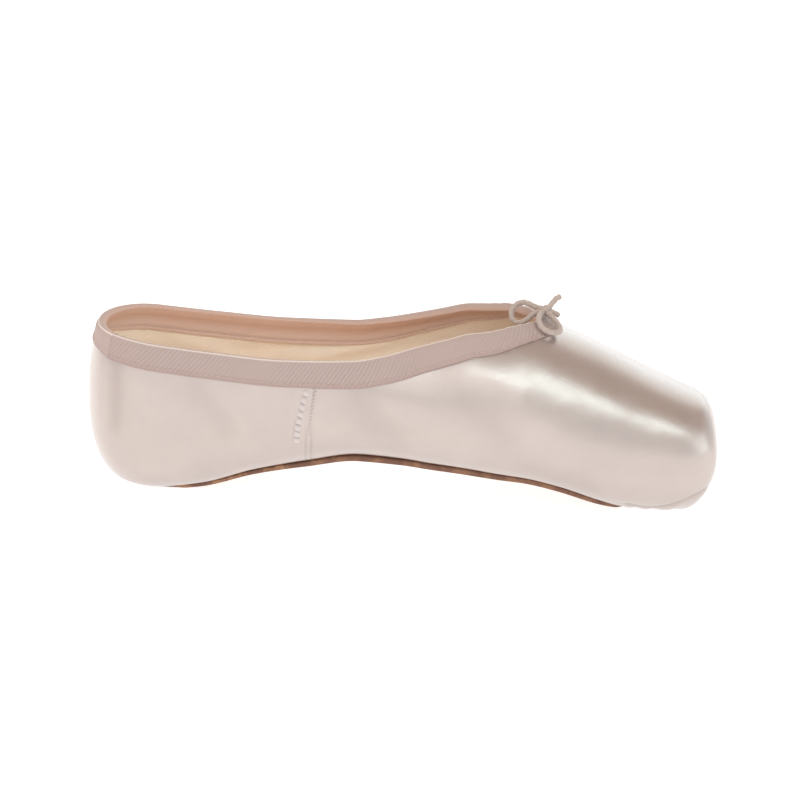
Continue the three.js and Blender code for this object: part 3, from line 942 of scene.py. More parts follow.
def studio_world():
    """Surroundings that are bright low down and dim overhead, by the height of the direction."""
    world = bpy.data.worlds.new("studio")
    world.use_nodes = True
    tree = world.node_tree
    rise = channel(tree, coordinates(tree, "Generated"), 2)
    level = ramp(tree, rise, (0.1, 0.8), (0.95, 0.51))
    warmth = ramp(tree, rise, (0.3, 0.8), (0.0, 1.0))
    tone = mix_colour(tree, warmth, opaque(WHITE), opaque(OVERHEAD))
    fill_inputs(tree, tree.nodes["Background"], {0: tone, 1: level})
    return world


class POINTE_OT_stage(bpy.types.Operator):
    """Pale floor, soft lights and the photograph's camera."""

    bl_idname = "pointe.stage"
    bl_label = "Stage"

    def execute(self, context):
        scene = context.scene
        scene.view_settings.view_transform = "Standard"
        corners = np.array([[-1, -1, 0], [1, -1, 0], [1, 1, 0], [-1, 1, 0]]) * FLOOR_REACH
        corners[:, 2] = -FLOOR_DROP
        floor = build_mesh("floor", corners, np.array([[0, 1, 2, 3]]), [floor_material()], closed=False)
        scene.world = studio_world()
        for softbox in SOFTBOXES:
            add_softbox(*softbox)
        add_camera(scene)
        return {"FINISHED"}


# Drawstring

# The cord's counts, its strands' turn and swell, and the share of its radius in which an end closes
CORD = SimpleNamespace(points=150, sides=18, strands=3, twist=0.9, swell=0.07, end=0.6)

# The knot's counts, its cord's share of the radius, the depth of its lobes, its half sizes, and its strands
TIE = SimpleNamespace(points=160, sides=16, thin=0.86, lobe=0.42, size=(1.45, 1.25, 1.05))
TIE_STRANDS = SimpleNamespace(count=3, turns=14, swell=0.05, length=3.0)


def ring_about(across, other, angle):
    """Directions round a path: its two square directions, by the cosine and sine of each angle."""
    first = across[:, None, :] * np.cos(angle)[None, :, None]
    return first + other[:, None, :] * np.sin(angle)[None, :, None]


def tube_points(path, radius):
    """Round section carried along a path. Its radius swells a little over each twisted strand, by a
    cosine of the angle plus the turns run so far, and closes to a point at both ends."""
    across, other = carried_frames(path)
    length = distance_along(path)
    angle = full_turn(CORD.sides)
    swell = 1 + CORD.swell * np.cos(CORD.strands * (angle[None, :] + CORD.twist * length[:, None]))
    taper = np.clip(np.minimum(length, length[-1] - length) / (CORD.end * radius), 0.0, 1.0)
    size = radius * swell * np.sqrt(1 - (1 - taper[:, None]) ** 2)
    points = path[:, None, :] + ring_about(across, other, angle) * size[..., None]
    return points, paired(length[:, None] * MM, angle[None, :] * radius * MM)


def make_cord(name, route, radius, material):
    """Tube of twisted strands along a smooth route; returns it with its path and length."""
    path, length = smooth_route(route, CORD.points)
    points, uv = tube_points(path, radius)
    faces = grid_faces(CORD.points, CORD.sides, loop_columns=True)
    return build_mesh(name, points, faces, [material], {"cloth": uv}), path, length


def make_knot(radius, material):
    """Tight knot: a tube along a closed three-lobed path that crosses over itself."""
    t = full_turn(TIE.points)
    lobe = 1.0 + TIE.lobe * np.cos(3 * t)
    path = np.stack([lobe * np.cos(2 * t), lobe * np.sin(2 * t), np.sin(3 * t)], -1) * TIE.size + KNOT
    tangent = loop_headings(path)
    across = unit(np.cross(tangent, unit(path - KNOT)))
    other = np.cross(across, tangent)
    angle = full_turn(TIE.sides)
    twist = TIE_STRANDS.count * angle[None, :] + TIE_STRANDS.turns * t[:, None]
    size = radius * (1 + TIE_STRANDS.swell * np.cos(twist))
    points = path[:, None, :] + ring_about(across, other, angle) * size[..., None]
    faces = grid_faces(TIE.points, TIE.sides, loop_rows=True, loop_columns=True)
    uv = paired(t[:, None] * TIE_STRANDS.length * MM, angle[None, :] * radius * MM)
    return build_mesh("drawstring_bow_knot", points, faces, [material], {"cloth": uv})


class POINTE_OT_drawstring(bpy.types.Operator):
    """Both halves of the drawstring, from the throat through the knot to loop and end."""

    bl_idname = "pointe.drawstring"
    bl_label = "Drawstring bow"

    def execute(self, context):
        diameter = context.scene.pointe_sizes.cord_diameter
        radius = diameter / MM / 2
        material = material_for(thread_material, "cord_strands", context.scene.pointe_colours.cord)
        knot = dress(make_knot(TIE.thin * radius, material), "cord", "drawstring_knot")
        halves = (
            ("drawstring_far", FAR_HALF, ("drawstring_loop_near", "drawstring_end_near")),
            ("drawstring_near", NEAR_HALF, ("drawstring_loop_far", "drawstring_end_far")),
        )
        for name, route, nodes in halves:
            piece, path, length = make_cord(name, route, radius, material)
            dress(piece, "cord", *nodes)
        return {"FINISHED"}


# Upper

# Counts of sections in the fan, side, throat, vamp and toe, and of steps in the flat, low and high parts
UPPER_STATIONS = (40, 100, 30, 48, 28)
SATIN_STEPS = (8, 38, 64)
LINING_STEPS = (3, 14, 26)

# Steps beside the gap underneath that have no relief, and the depth at which the painted shade of a hollow
# is darkest
PLAIN_STEPS = 3
FULL_SHADE_DEPTH = 0.9

# Flat ends of the toe: how far they bulge, and their rings
SATIN_TIP = (0.5, 14)
LINING_TIP = (0.3, 6)

# Soft creases of the satin in the side view: from, to, half width, and depth, inwards below 0
CREASES = (
    ((12.2, 58), (11.8, 24), 3.6, -0.62),
    ((5.4, 54), (6.0, 26), 2.6, 0.3),
    ((40, 50), (58, 26), 6.5, -0.28),
    ((52, 49), (70, 24), 6.0, 0.22),
    ((98, 47), (120, 26), 7.5, -0.30),
    ((116, 50), (140, 27), 7.0, 0.25),
    ((132, 56), (164, 30), 6.0, -0.22),
    ((150, 58), (176, 40), 5.0, 0.28),
    ((164, 22), (196, 12), 5.0, -0.25),
    ((196, 20), (222, 12), 5.0, 0.20),
    ((166, 56), (180, 43), 5.0, 0.15),
    ((180, 54), (190, 42), 4.6, -0.12),
    ((194, 50), (203, 39), 4.4, 0.14),
    ((206, 47), (214, 36), 4.4, -0.12),
    ((218, 43), (226, 33), 4.2, 0.12),
)

# Soft folds of the lining, in the same terms
LINING_FOLDS = (
    ((50, 42.5), (97, 47.5), 2.4, -0.65),
    ((78, 40.0), (113, 47.5), 2.2, 0.7),
    ((92, 40.5), (126, 48.0), 2.4, -0.6),
    ((30, 47.0), (58, 40.0), 2.6, 0.55),
)

# Shares of a crease's length between which it fades in and out
CREASE_FADES = ((-0.15, 0.2), (0.8, 1.15))

# The side seam with its lap towards the heel, faded in between two heights, and the groove in front of it
SEAM = SimpleNamespace(at=86.0, lap=5.6, ease=0.8, over=0.1, rise=0.32, fade=(14, 20))
SEAM_GROOVE = SimpleNamespace(depth=0.4, half=0.55)

# The swell of the vamp, faded in between two heights
VAMP_CREST = SimpleNamespace(at=194.0, long=16.0, wide=16.0, rise=0.9, fade=(30, 44))

# The pleats under the toe, where they start and fade, and the groove along their top line
PLEATS = SimpleNamespace(centre=201.0, count=24, depth=0.216, start=(202, 208), fade=(0.8, -1.2))
PLEAT_GROOVE = SimpleNamespace(depth=0.65, half=0.7)
PLEAT_LINE = np.array([
    [200, 7.4],
    [205, 6.0],
    [215, 3.9],
    [221, 4.6],
    [226, 6.4],
    [231, 8.8],
    [234, 9.8],
    [240, 12.5],
])


def bell(distance, half):
    """1 at no distance, falling off as a bell curve of a half width."""
    return np.exp(-((distance / half) ** 2))


def soft_line(at, up, start, end, half):
    """1 on a straight line in the side view, falling off as a bell curve of the distance to it."""
    start = np.array(start, float)
    span = np.array(end, float) - start
    share = ((at - start[0]) * span[0] + (up - start[1]) * span[1]) / (span @ span)
    inside = np.clip(share, 0.0, 1.0)
    distance = np.hypot(at - start[0] - inside * span[0], up - start[1] - inside * span[1])
    fade_in, fade_out = CREASE_FADES
    return bell(distance, half) * (smoothstep(*fade_in, share) * (1 - smoothstep(*fade_out, share)))


def folded(folds, at, up):
    """Height of a set of creases: each one's depth times its soft line, added up."""
    return sum(depth * soft_line(at, up, start, end, half) for start, end, half, depth in folds)


def satin_relief(grid):
    """Height of the satin above the last: soft creases, the lapped side seam with its groove, a bell-shaped
    swell of the vamp, and the pleats that gather under the toe, a cosine of the angle about the sole's
    tip below the pleats' top line."""
    at = grid[..., 0] + LENGTH / 2
    side = grid[..., 1]
    up = grid[..., 2]
    relief = folded(CREASES, at, up)
    lap_start = SEAM.at - SEAM.lap
    lap = smoothstep(lap_start - SEAM.ease, lap_start + SEAM.ease, at) * (at < SEAM.at + SEAM.over)
    groove = SEAM_GROOVE.depth * bell(at - SEAM.at, SEAM_GROOVE.half)
    relief += (SEAM.rise * lap - groove) * smoothstep(*SEAM.fade, up)
    crest = bell(at - VAMP_CREST.at, VAMP_CREST.long) * bell(side, VAMP_CREST.wide)
    relief += VAMP_CREST.rise * crest * smoothstep(*VAMP_CREST.fade, up)
    above = up - along(PLEAT_LINE, at)
    ahead = smoothstep(*PLEATS.start, at)
    angle = np.arctan2(side, at - PLEATS.centre)
    relief += PLEATS.depth * ahead * smoothstep(*PLEATS.fade, above) * np.cos(PLEATS.count * angle)
    relief -= PLEAT_GROOVE.depth * ahead * bell(above, PLEAT_GROOVE.half)
    return relief


def upper_grids():
    """Outer satin and inner lining of the upper as two grids over the same sections. The folds move the
    lining sideways, and the relief moves the satin along its normals, but not off the ridge's plane."""
    at, turn, run = stations(*UPPER_STATIONS)
    outer = both_sides(half_surface(at, turn, run, 0.0, SATIN_STEPS))
    inner = both_sides(half_surface(at, turn, run, 1.0, LINING_STEPS))
    fold = folded(LINING_FOLDS, inner[..., 0] + LENGTH / 2, inner[..., 2])
    inner[..., 1] -= np.sign(inner[..., 1]) * fold
    relief = satin_relief(outer)
    relief[:, :PLAIN_STEPS] = 0.0
    normal = normals_of(outer)
    belly = sum(SATIN_STEPS[:2])
    outward = np.sign(np.sum(normal[:, belly, 1] * outer[:, belly, 1]))
    moved = outer + normal * (outward * relief)[..., None]
    ridge = np.abs(outer[..., 1]) < SAME_PLACE
    moved[..., 1] = np.where(ridge, 0.0, moved[..., 1])
    return moved, inner, relief, run


def tip_cap(ring, bulge, rings):
    """Flat end of the toe: its outline drawn in to a point, pushed out a little in the middle."""
    middle = (ring.min(0) + ring.max(0)) / 2
    share = np.linspace(0, 1, rings)[:, None, None]
    cap = ring[None] + (middle - ring)[None] * share
    cap[..., 0] += bulge * (1 - (1 - share[..., 0]) ** 2)
    return cap


def tip_ring(grid):
    """Outline of a grid's two toe ends as one loop: near side upwards, far side down again."""
    return np.concatenate([grid[-1], grid[0, ::-1][1:-1]], 0)


class POINTE_OT_upper(bpy.types.Operator):
    """Hollow upper: satin outside, cotton inside, joined at the rim and under the shoe."""

    bl_idname = "pointe.upper"
    bl_label = "Upper"

    def execute(self, context):
        colours = context.scene.pointe_colours
        outer, inner, relief, run = upper_grids()
        rows, outer_columns = outer.shape[:2]
        inner_columns = inner.shape[1]
        points = [outer.reshape(-1, 3), inner.reshape(-1, 3)]
        outer_number = np.arange(rows * outer_columns).reshape(rows, outer_columns)
        inner_number = np.arange(rows * inner_columns).reshape(rows, inner_columns) + outer_number.size
        satin_faces = [grid_faces(rows, outer_columns)]
        lining_faces = [grid_faces(rows, inner_columns, outer_number.size)]
        for column, faces in ((-1, lining_faces), (0, satin_faces)):
            apart = np.abs(outer[:, column, 1]) > SAME_PLACE
            edge_faces = strip_faces(outer_number[:, column], inner_number[:, column])
            faces.append(edge_faces[apart[:-1] | apart[1:]])
        start = outer_number.size + inner_number.size
        tips = ((outer, SATIN_TIP, satin_faces), (inner, LINING_TIP, lining_faces))
        for grid, (bulge, rings), faces in tips:
            cap = tip_cap(tip_ring(grid), bulge, rings)
            points.append(cap.reshape(-1, 3))
            faces.append(grid_faces(rings, cap.shape[1], start, loop_columns=True))
            start += cap.shape[0] * cap.shape[1]
        points = np.concatenate(points)
        satin_count = sum(len(faces) for faces in satin_faces)
        faces = np.concatenate(satin_faces + lining_faces)
        parts = (np.arange(len(faces)) >= satin_count).astype(int)
        uv = np.stack([points[:, 0], points[:, 2] + np.abs(points[:, 1])], -1) * MM
        signed_run = np.concatenate([-run[::-1], run[1:]])
        uv[: outer_number.size, 0] = np.repeat(signed_run, outer_columns) * MM
        # Painted shade: the relief map holds how deep each satin point lies in a hollow, darkest at the
        # full shade depth
        painted_hollow_shade = np.ones((len(points), 2))
        painted_hollow_shade[: outer_number.size, 0] = np.clip(1.0 + relief.ravel() / FULL_SHADE_DEPTH, 0.0, 1.0)
        materials = [
            material_for(satin_material, "satin_cloth", colours.satin),
            material_for(lining_material, "cotton_lining", colours.lining),
        ]
        maps = {"cloth": uv, "relief": painted_hollow_shade}
        dress(build_mesh("upper_satin", points, faces, materials, maps, parts), "satin", "upper")
        return {"FINISHED"}


# Collar tape

# Counts of sections for the rim's line, as for the upper, and of steps along, across and over the tape
RIM_STATIONS = (200, 500, 260, 2, 2)
TAPE_ROWS = 620
TAPE_COLUMNS = 22
TAPE_FOLD = 12

# Relief of the tape: how far it stands off the cloth, the casing of the cord, and the line of stitches
TAPE_LIFT = 0.15
CASING = SimpleNamespace(bulge=0.3, depth=1.9, half=1.5)
STITCH_DENT = SimpleNamespace(depth=0.22, inset=1.5, half=0.55)
FOLD_RISE = -0.35
EDGE_DROOP = 0.16
EDGE_CORNERS = (0.15, 0.85)

# Share across the tape at which its faces start, and the largest share on the fold between them
FACE_SHARE = 0.1
FOLD_SHARE = 0.09

# Gathers round the throat: where they start and end, their pitch and rise
GATHER = SimpleNamespace(reach=(140, 166), pitch=4.6, rise=0.12)

# The lap at the heel: its stretch of the rim, how much narrower, lower and thinner it is, and its pattern
LAP = SimpleNamespace(start=5.5, end=19.5, narrower=0.5, sunk=0.25, thin=0.6, shift=0.8, share=0.8)

# One stitch: its counts, pitch by its length, half width and height, and how far its ends and it sink in
STITCH = SimpleNamespace(rings=7, sides=8, pitch=1.2, half_width=0.3, height=0.38, dip=0.5, sunk=0.1)


def collar_edge(count):
    """Rim of the upper as a closed loop at even steps, starting at the heel's back along the near side,
    with the distance along the loop of each point and of its end."""
    at, turn, run = stations(*RIM_STATIONS)
    keep = at < THROAT.end + SAME_PLACE
    at, turn, run = at[keep], turn[keep], run[keep]
    row = section(run, at)
    out = rim_out(row, at, turn)
    rise = np.clip(1 - (out / row.girth) ** row.high, 0, 1) ** (1 / row.high)
    up = row.belly + (row.crown - row.belly) * rise
    near = np.stack([at - out * np.cos(turn) - LENGTH / 2, -out * np.sin(turn), up], -1)
    far = near[::-1][1:-1] * FLIP
    loop = np.concatenate([near, far, near[:1]], 0)
    length = distance_along(loop)
    even = np.linspace(0, length[-1], count, endpoint=False)
    return points_at(even, length, loop), even, length[-1]


def there_and_back(across):
    """Values across the tape's front, then across its back, each end held over the cut edge."""
    first, last = across[:, :1], across[:, -1:]
    return np.concatenate([across, last, last, across[:, ::-1], first, first], 1)


def tape_section(edge, width, lift, thickness):
    """Tape folded over the rim, as one closed section at each point of the rim. From the rim the cloth is
    followed down to the width on both faces, with a casing for the cord near the fold and a dent along
    the stitches. The fold is half an ellipse. Returns points, distance across and share across."""
    high_above = np.array([-20.0, 0.0, 200.0])
    normal = last_normals(edge)
    down = unit(np.cross(normal, loop_headings(edge)))
    down = down * np.sign(np.sum(down * (edge - high_above)))
    share = np.linspace(0, 1, TAPE_COLUMNS)
    depth = width[:, None] * share[None, :]
    cloth = on_last(edge[:, None, :] + down[:, None, :] * depth[..., None])
    cloth[:, 0] = edge
    out = last_normals(cloth)
    wall = wall_at(edge[:, 0] + LENGTH / 2)[:, None]
    casing = CASING.bulge * bell(depth - CASING.depth, CASING.half)
    dent = STITCH_DENT.depth * bell(depth - width[:, None] + STITCH_DENT.inset, STITCH_DENT.half)
    near_face = lift + thickness
    shape = casing - dent
    outer = cloth + out * (near_face + shape)[..., None]
    inner = cloth - out * (wall + near_face + shape)[..., None]
    outer_back = cloth + out * (lift + shape)[..., None]
    inner_back = cloth - out * (wall + lift + shape)[..., None]
    turn = np.linspace(0, 1, TAPE_FOLD + 2)[1:-1]
    angle = (math.pi * turn)[None, :, None]
    middle = (edge - normal * wall / 2)[:, None, :]
    half = wall[..., None] / 2
    folds = []
    for reach in (near_face[..., None], lift[..., None]):
        bent = middle + normal[:, None, :] * (half + reach + shape[:, :1, None]) * np.cos(angle)
        folds.append(bent - down[:, None, :] * (reach + FOLD_RISE) * np.sin(angle))
    fold, fold_back = folds
    front = np.concatenate([outer[:, ::-1], fold, inner], 1)
    back = np.concatenate([outer_back[:, ::-1], fold_back, inner_back], 1)[:, ::-1]
    droop = unit(cloth[:, -1] - cloth[:, -2]) * EDGE_DROOP
    inner_edge, outer_edge = (
        np.stack([face[:, -1] * (1 - part) + behind[:, -1] * part + droop for part in EDGE_CORNERS], 1)
        for face, behind in ((inner, inner_back), (outer_back, outer))
    )
    points = np.concatenate([front, inner_edge, back, outer_edge], 1)
    bend = np.pi * (wall / 2 + near_face)
    across = np.concatenate([-depth[:, ::-1] - bend / 2, bend * (turn - 0.5), depth + bend / 2], 1)
    fold_share = np.linspace(-FOLD_SHARE, FOLD_SHARE, TAPE_FOLD)
    band = np.concatenate([-share[::-1] - FACE_SHARE, fold_share, share + FACE_SHARE])
    return points, there_and_back(across), there_and_back(np.broadcast_to(band, across.shape))


def wrapped(grid, rows=True):
    """Grid with its first column, and its first row where it closes, set again after the last."""
    grid = np.concatenate([grid, grid[:, :1]], 1)
    return np.concatenate([grid, grid[:1]], 0) if rows else grid


def end_cap(row, columns):
    """Quads that close the end of a folded tape: between its front and back, and at its two edges."""
    front = TAPE_COLUMNS * 2 + TAPE_FOLD
    number = row * columns
    first = number + np.arange(front)
    second = number + front + 2 + np.arange(front)[::-1]
    corners = np.array([
        [first[-1], first[-1] + 1, first[-1] + 2, second[-1]],
        [second[0], second[0] + 1, second[0] + 2, first[0]],
    ])
    return np.concatenate([strip_faces(first, second), corners])


def stitch_shapes(middle, heading, out, length, half_width, height):
    """Row of stitches: rounded pods, each a grid of rings that shrink as half circles towards its ends and
    dip there into the cloth."""
    angle = full_turn(STITCH.sides)
    share = np.linspace(-1, 1, STITCH.rings)
    ring = np.sqrt(1 - share**2)
    heading = unit(heading - out * np.sum(heading * out, -1, keepdims=True))
    across = np.cross(out, heading)
    aside = ring[:, None] * np.cos(angle)[None, :] * half_width
    above = ring[:, None] * np.sin(angle)[None, :] * height - STITCH.dip * height * (share**2)[:, None]
    ahead = np.broadcast_to((share * length / 2)[:, None], aside.shape)
    points = middle[:, None, None, :] + heading[:, None, None, :] * ahead[None, ..., None]
    points = points + across[:, None, None, :] * aside[None, ..., None]
    points = points + out[:, None, None, :] * above[None, ..., None]
    pod = grid_faces(STITCH.rings, STITCH.sides, loop_columns=True)
    start = np.arange(len(middle))[:, None, None] * aside.size
    uv = paired(share[:, None] * length / 2, angle[None, :] * half_width) * MM
    faces = (pod[None] + start).reshape(-1, 4)
    return points.reshape(-1, 3), faces, np.tile(uv.reshape(-1, 2), (len(middle), 1))


class POINTE_OT_binding(bpy.types.Operator):
    """Twill tape folded over the rim, its lap at the heel and its rows of stitches."""

    bl_idname = "pointe.binding"
    bl_label = "Collar binding"

    def execute(self, context):
        colours = context.scene.pointe_colours
        sizes = context.scene.pointe_sizes
        thickness = sizes.tape_thickness / MM
        edge, even, length = collar_edge(TAPE_ROWS)
        at = edge[:, 0] + LENGTH / 2
        width = along(TAPE_WIDTH, at)
        gather = smoothstep(*GATHER.reach, at) * np.sin(2 * math.pi * even / GATHER.pitch)
        lift = (TAPE_LIFT + GATHER.rise * gather)[:, None]
        points, across, band = tape_section(edge, width, lift, thickness)
        columns = points.shape[1] + 1
        run = np.concatenate([even, [length]])
        maps = {
            "cloth": paired(run[:, None], wrapped(across)) * MM,
            "band": paired(run[:, None] * MM, wrapped(band)),
        }
        faces = grid_faces(TAPE_ROWS + 1, columns)
        twill = material_for(tape_material, "twill_tape", colours.tape)
        dress(build_mesh("collar_tape", wrapped(points), faces, [twill], maps), "tape", "collar_binding")
        kept = (even > LAP.start) & (even < LAP.end)
        lap = tape_section(edge, width - LAP.narrower, lift + thickness - LAP.sunk, LAP.thin * thickness)
        points, across, band = (wrapped(grid[kept], False) for grid in lap)
        run = even[kept][:, None] + LAP.shift
        maps = {"cloth": paired(run, -across) * MM, "band": paired(run * MM, band * LAP.share)}
        ends = [end_cap(0, columns), end_cap(len(points) - 1, columns)]
        faces = np.concatenate([grid_faces(len(points), columns), *ends])
        pale = material_for(tape_material, "pale_tape", scaled(colours.tape, PALER_LAP)[:3])
        dress(build_mesh("collar_tape_lap", points, faces, [pale], maps), "tape")
        self.sew(edge, (even, length), width, lift[:, 0] + thickness, sizes, colours)
        return {"FINISHED"}

    def sew(self, edge, rim, width, raised, sizes, colours):
        """Stitch rows along the tape's lower edge on both faces, at even steps round the rim."""
        even, length = rim
        stitch = sizes.stitch_length / MM
        points, _, _ = tape_section(edge, width, raised[:, None], 0.0)
        column = int(round((TAPE_COLUMNS - 1) * (1 - STITCH_DENT.inset / width.mean())))
        count = int(length / (stitch * STITCH.pitch))
        pick = np.arange(count) * length / count
        run = np.concatenate([even, [length]])
        # The inside row's thread carries painted warm bounce light from the lining
        rows = (
            ("outside", TAPE_COLUMNS - 1 - column, 1.0, colours.thread),
            ("inside", TAPE_COLUMNS + TAPE_FOLD + column, -1.0, INSIDE_THREAD_BOUNCE_LIGHT),
        )
        for face, place, side, colour in rows:
            line = points[:, place]
            spots = points_at(pick, run, np.concatenate([line, line[:1]]))
            out = last_normals(spots) * side
            sunk = spots - out * STITCH.sunk
            heading = loop_headings(spots)
            shape = stitch_shapes(sunk, heading, out, stitch, STITCH.half_width, STITCH.height)
            thread = material_for(thread_material, "thread_" + face, colour)
            name = "collar_stitches_" + face
            dress(build_mesh(name, shape[0], shape[1], [thread], {"cloth": shape[2]}), "tape")


# Side seams

# Distance from the heel and height of each stitch
SEAM_PUFFS = np.array([
    [83.6, 45.4],
    [82.9, 42.6],
    [82.3, 39.8],
    [81.8, 37.0],
    [81.3, 34.2],
    [81.0, 31.4],
    [80.8, 28.8],
    [80.6, 26.2],
])
SEAM_TICKS = np.array([
    [87.2, 47.2],
    [87.0, 45.8],
    [86.7, 44.4],
    [86.5, 43.0],
    [86.3, 41.6],
    [86.1, 40.2],
    [85.9, 38.8],
    [85.7, 37.4],
    [85.6, 36.0],
    [85.5, 34.6],
    [85.4, 33.2],
    [85.3, 31.8],
    [85.2, 30.4],
    [85.2, 29.0],
])
SEAM_BETWEEN = (SEAM_PUFFS[1:] + SEAM_PUFFS[:-1]) / 2

# Columns of stitches: their places, lean along and up, length, half width, height, lift, and thread
SEAM_COLUMNS = (
    (SEAM_PUFFS, (1.0, -0.5), 3.6, 1.35, 0.66, 0.12, 0),
    (SEAM_BETWEEN, (1.0, -0.5), 3.6, 0.26, 0.55, 0.1, 1),
    (SEAM_TICKS, (0.8, 0.65), 2.1, 0.30, 0.34, 0.02, 1),
)
SIDE_STEP = 0.2


def side_points(at, up):
    """Points on the outside of the upper at given distances from the heel and heights, near side. Above
    the belly they lie on the upper rounding, below it on the lower one."""
    row = section(run_of(at), at)
    rise = np.clip((up - row.belly) / (row.crown - row.belly), 0.0, 1.0)
    high_out = row.girth * (1 - rise**row.high) ** (1 / row.high)
    fall = np.clip((row.belly - up) / (row.belly - row.base), 0.0, 1.0)
    low_out = row.seat + (row.girth - row.seat) * (1 - fall**row.low) ** (1 / row.low)
    out = np.where(up > row.belly, high_out, low_out)
    return np.stack([at - LENGTH / 2, -out, up], -1)


def side_frame(at, up):
    """Points on the near side with the direction out of the cloth there."""
    fore = side_points(at + SIDE_STEP, up) - side_points(at - SIDE_STEP, up)
    rise = side_points(at, up + SIDE_STEP) - side_points(at, up - SIDE_STEP)
    return side_points(at, up), unit(np.cross(fore, rise))


class POINTE_OT_side_seams(bpy.types.Operator):
    """Stitched side seams: a column of puffed stitches and a column of small ones, on both sides."""

    bl_idname = "pointe.side_seams"
    bl_label = "Side seams"

    def execute(self, context):
        # The puffs take a painted highlight; the rest of the seam's thread is satin-coloured
        materials = [
            material_for(thread_material, "seam_puffs", PUFF_THREAD_HIGHLIGHT),
            material_for(thread_material, "seam_thread", context.scene.pointe_colours.satin),
        ]
        points, faces, uv, parts = [], [], [], []
        for places, lean, length, half_width, height, lifted, part in SEAM_COLUMNS:
            at, up = places.T
            middle, out = side_frame(at, up)
            heading = unit(side_points(at + lean[0], up + lean[1]) - middle)
            shape = stitch_shapes(middle + out * lifted, heading, out, length, half_width, height)
            faces.append(shape[1] + sum(len(group) for group in points))
            points.append(shape[0])
            uv.append(shape[2])
            parts.append(np.full(len(shape[1]), part))
        points, faces, uv, parts = (np.concatenate(groups) for groups in (points, faces, uv, parts))
        for name, flip in (("side_seam_near", 1.0), ("side_seam_far", FLIP)):
            dress(build_mesh(name, points * flip, faces, materials, {"cloth": uv}, parts), "satin")
        return {"FINISHED"}


# Sole and sock

# Counts along and round each strip, and how square its corners are across and up
SOLE_STRIP = SimpleNamespace(rows=220, squareness=(9.0, 4.0))
SOCK_STRIP = SimpleNamespace(rows=160, squareness=(8.0, 3.0))
STRIP_SIDES = 72

# How far down a point lies on its section where the underside's nap starts and is full
NAP_SHARE = (-0.96, -0.999)


def round_ends(at, ends):
    """Share of the half width left near both ends: quarter ellipses in plan."""
    heel = np.clip((at - ends.heel) / ends.heel_round, 0.0, 1.0)
    toe = np.clip((ends.toe - at) / ends.toe_round, 0.0, 1.0)
    return np.sqrt(1 - (1 - heel) ** 2) * np.sqrt(1 - (1 - toe) ** 2)


def swept_stations(ends, count):
    """Distances from the heel, closer together at both ends, by a cosine."""
    t = np.linspace(0, math.pi, count)
    return ends.heel + (ends.toe - ends.heel) * (1 - np.cos(t)) / 2


def strip_points(at, half, low, high, squareness):
    """Flat strip along the shoe: each section a squared ellipse of the half width and the thickness there,
    its corners as sharp as the two powers. Returns points and how far each faces down."""
    angle = full_turn(STRIP_SIDES)
    side, face = squareness
    wide = np.sign(np.cos(angle)) * np.abs(np.cos(angle)) ** (2 / side)
    tall = np.sign(np.sin(angle)) * np.abs(np.sin(angle)) ** (2 / face)
    middle = ((low + high) / 2)[:, None]
    thick = ((high - low) / 2)[:, None]
    y = half[:, None] * wide[None, :]
    z = middle + thick * tall[None, :]
    x = np.broadcast_to((at - LENGTH / 2)[:, None], y.shape)
    return np.stack([x, y, z], -1), np.broadcast_to(smoothstep(*NAP_SHARE, tall), y.shape)


def make_strip(name, points, uv, material):
    """Mesh of a strip whose sections are closed."""
    rows, columns = points.shape[:2]
    faces = grid_faces(rows, columns + 1)
    return build_mesh(name, wrapped(points, False), faces, [material], {"cloth": wrapped(uv, False)})


class POINTE_OT_outsole(bpy.types.Operator):
    """Leather sole, skived thin at the heel and under the toe."""

    bl_idname = "pointe.outsole"
    bl_label = "Leather sole"

    def execute(self, context):
        at = swept_stations(SOLE_ENDS, SOLE_STRIP.rows)
        half = along(SOLE, at) * round_ends(at, SOLE_ENDS)
        thickness = along(SOLE[:, [0, 2]], at) * context.scene.pointe_sizes.sole_thickness / SOLE_THICKEST
        high = sole_section(at).base - CLEARANCE
        low = np.maximum(0.0, high - thickness)
        points, under = strip_points(at, half, low, high, SOLE_STRIP.squareness)
        uv = np.stack([points[..., 0] * MM, under], -1)
        leather = material_for(leather_material, "sole_leather", context.scene.pointe_colours.leather)
        dress(make_strip("leather_sole", points, uv, leather), "leather", "outsole")
        return {"FINISHED"}


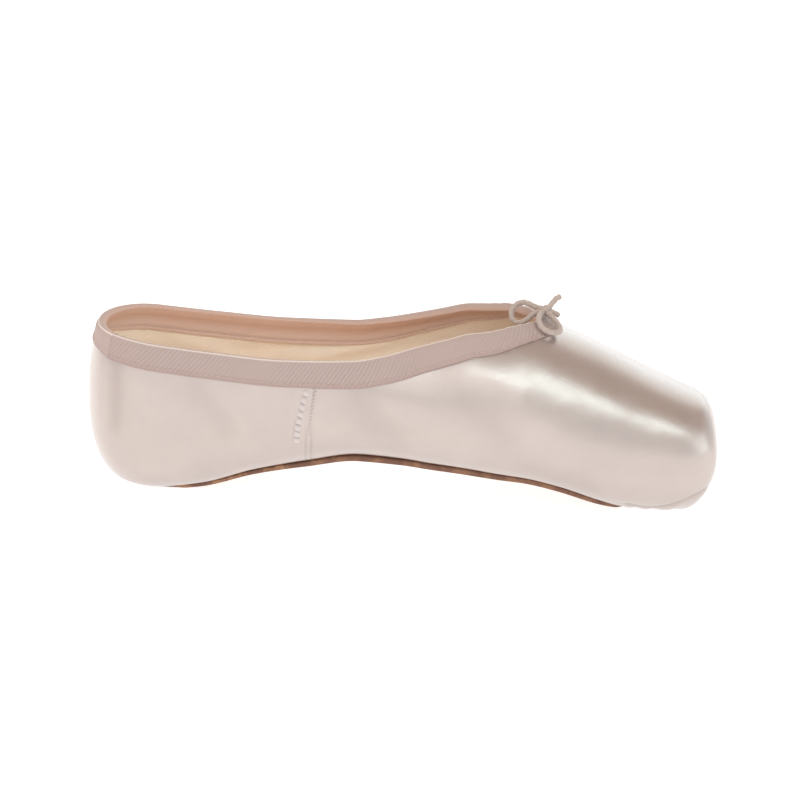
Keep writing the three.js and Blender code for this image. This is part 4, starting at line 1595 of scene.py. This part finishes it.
class POINTE_OT_insole(bpy.types.Operator):
    """Cloth-covered sock board inside the shoe."""

    bl_idname = "pointe.insole"
    bl_label = "Sock"

    def execute(self, context):
        thickness = context.scene.pointe_sizes.insole_thickness / MM
        at = swept_stations(INSOLE_ENDS, SOCK_STRIP.rows)
        row = sole_section(at)
        half = (row.seat - INSOLE_EASE) * round_ends(at, INSOLE_ENDS)
        low = row.base + row.wall + CLEARANCE
        points, _ = strip_points(at, half, low, low + thickness, SOCK_STRIP.squareness)
        lining = material_for(lining_material, "cotton_lining", context.scene.pointe_colours.lining)
        dress(make_strip("sock", points, points[..., :2] * MM, lining), "lining", "insole")
        return {"FINISHED"}


class POINTE_PT_pieces(bpy.types.Panel):
    """Lists the steps that dress the shoe."""

    bl_idname = "POINTE_PT_pieces"
    bl_label = "Pointe Shoe"
    bl_space_type = "VIEW_3D"
    bl_region_type = "UI"
    bl_category = "Pointe Shoe"

    def draw(self, context):
        for step in STEPS:
            self.layout.operator(step.bl_idname)


STEPS = (
    POINTE_OT_stage,
    POINTE_OT_drawstring,
    POINTE_OT_upper,
    POINTE_OT_side_seams,
    POINTE_OT_binding,
    POINTE_OT_outsole,
    POINTE_OT_insole,
)
CLASSES = (PointeSizes, PointeColours, *STEPS, POINTE_PT_pieces)


def register():
    """Adds the classes and the scene's settings."""
    for cls in CLASSES:
        bpy.utils.register_class(cls)
    bpy.types.Scene.pointe_sizes = PointerProperty(type=PointeSizes)
    bpy.types.Scene.pointe_colours = PointerProperty(type=PointeColours)


def unregister():
    """Removes them again."""
    del bpy.types.Scene.pointe_colours
    del bpy.types.Scene.pointe_sizes
    for cls in reversed(CLASSES):
        bpy.utils.unregister_class(cls)


def main():
    """Dresses the shoe step by step."""
    register()
    bpy.ops.pointe.stage()
    bpy.ops.pointe.drawstring()
    bpy.ops.pointe.upper()
    bpy.ops.pointe.side_seams()
    bpy.ops.pointe.binding()
    bpy.ops.pointe.outsole()
    bpy.ops.pointe.insole()


if __name__ == "__main__":
    main()
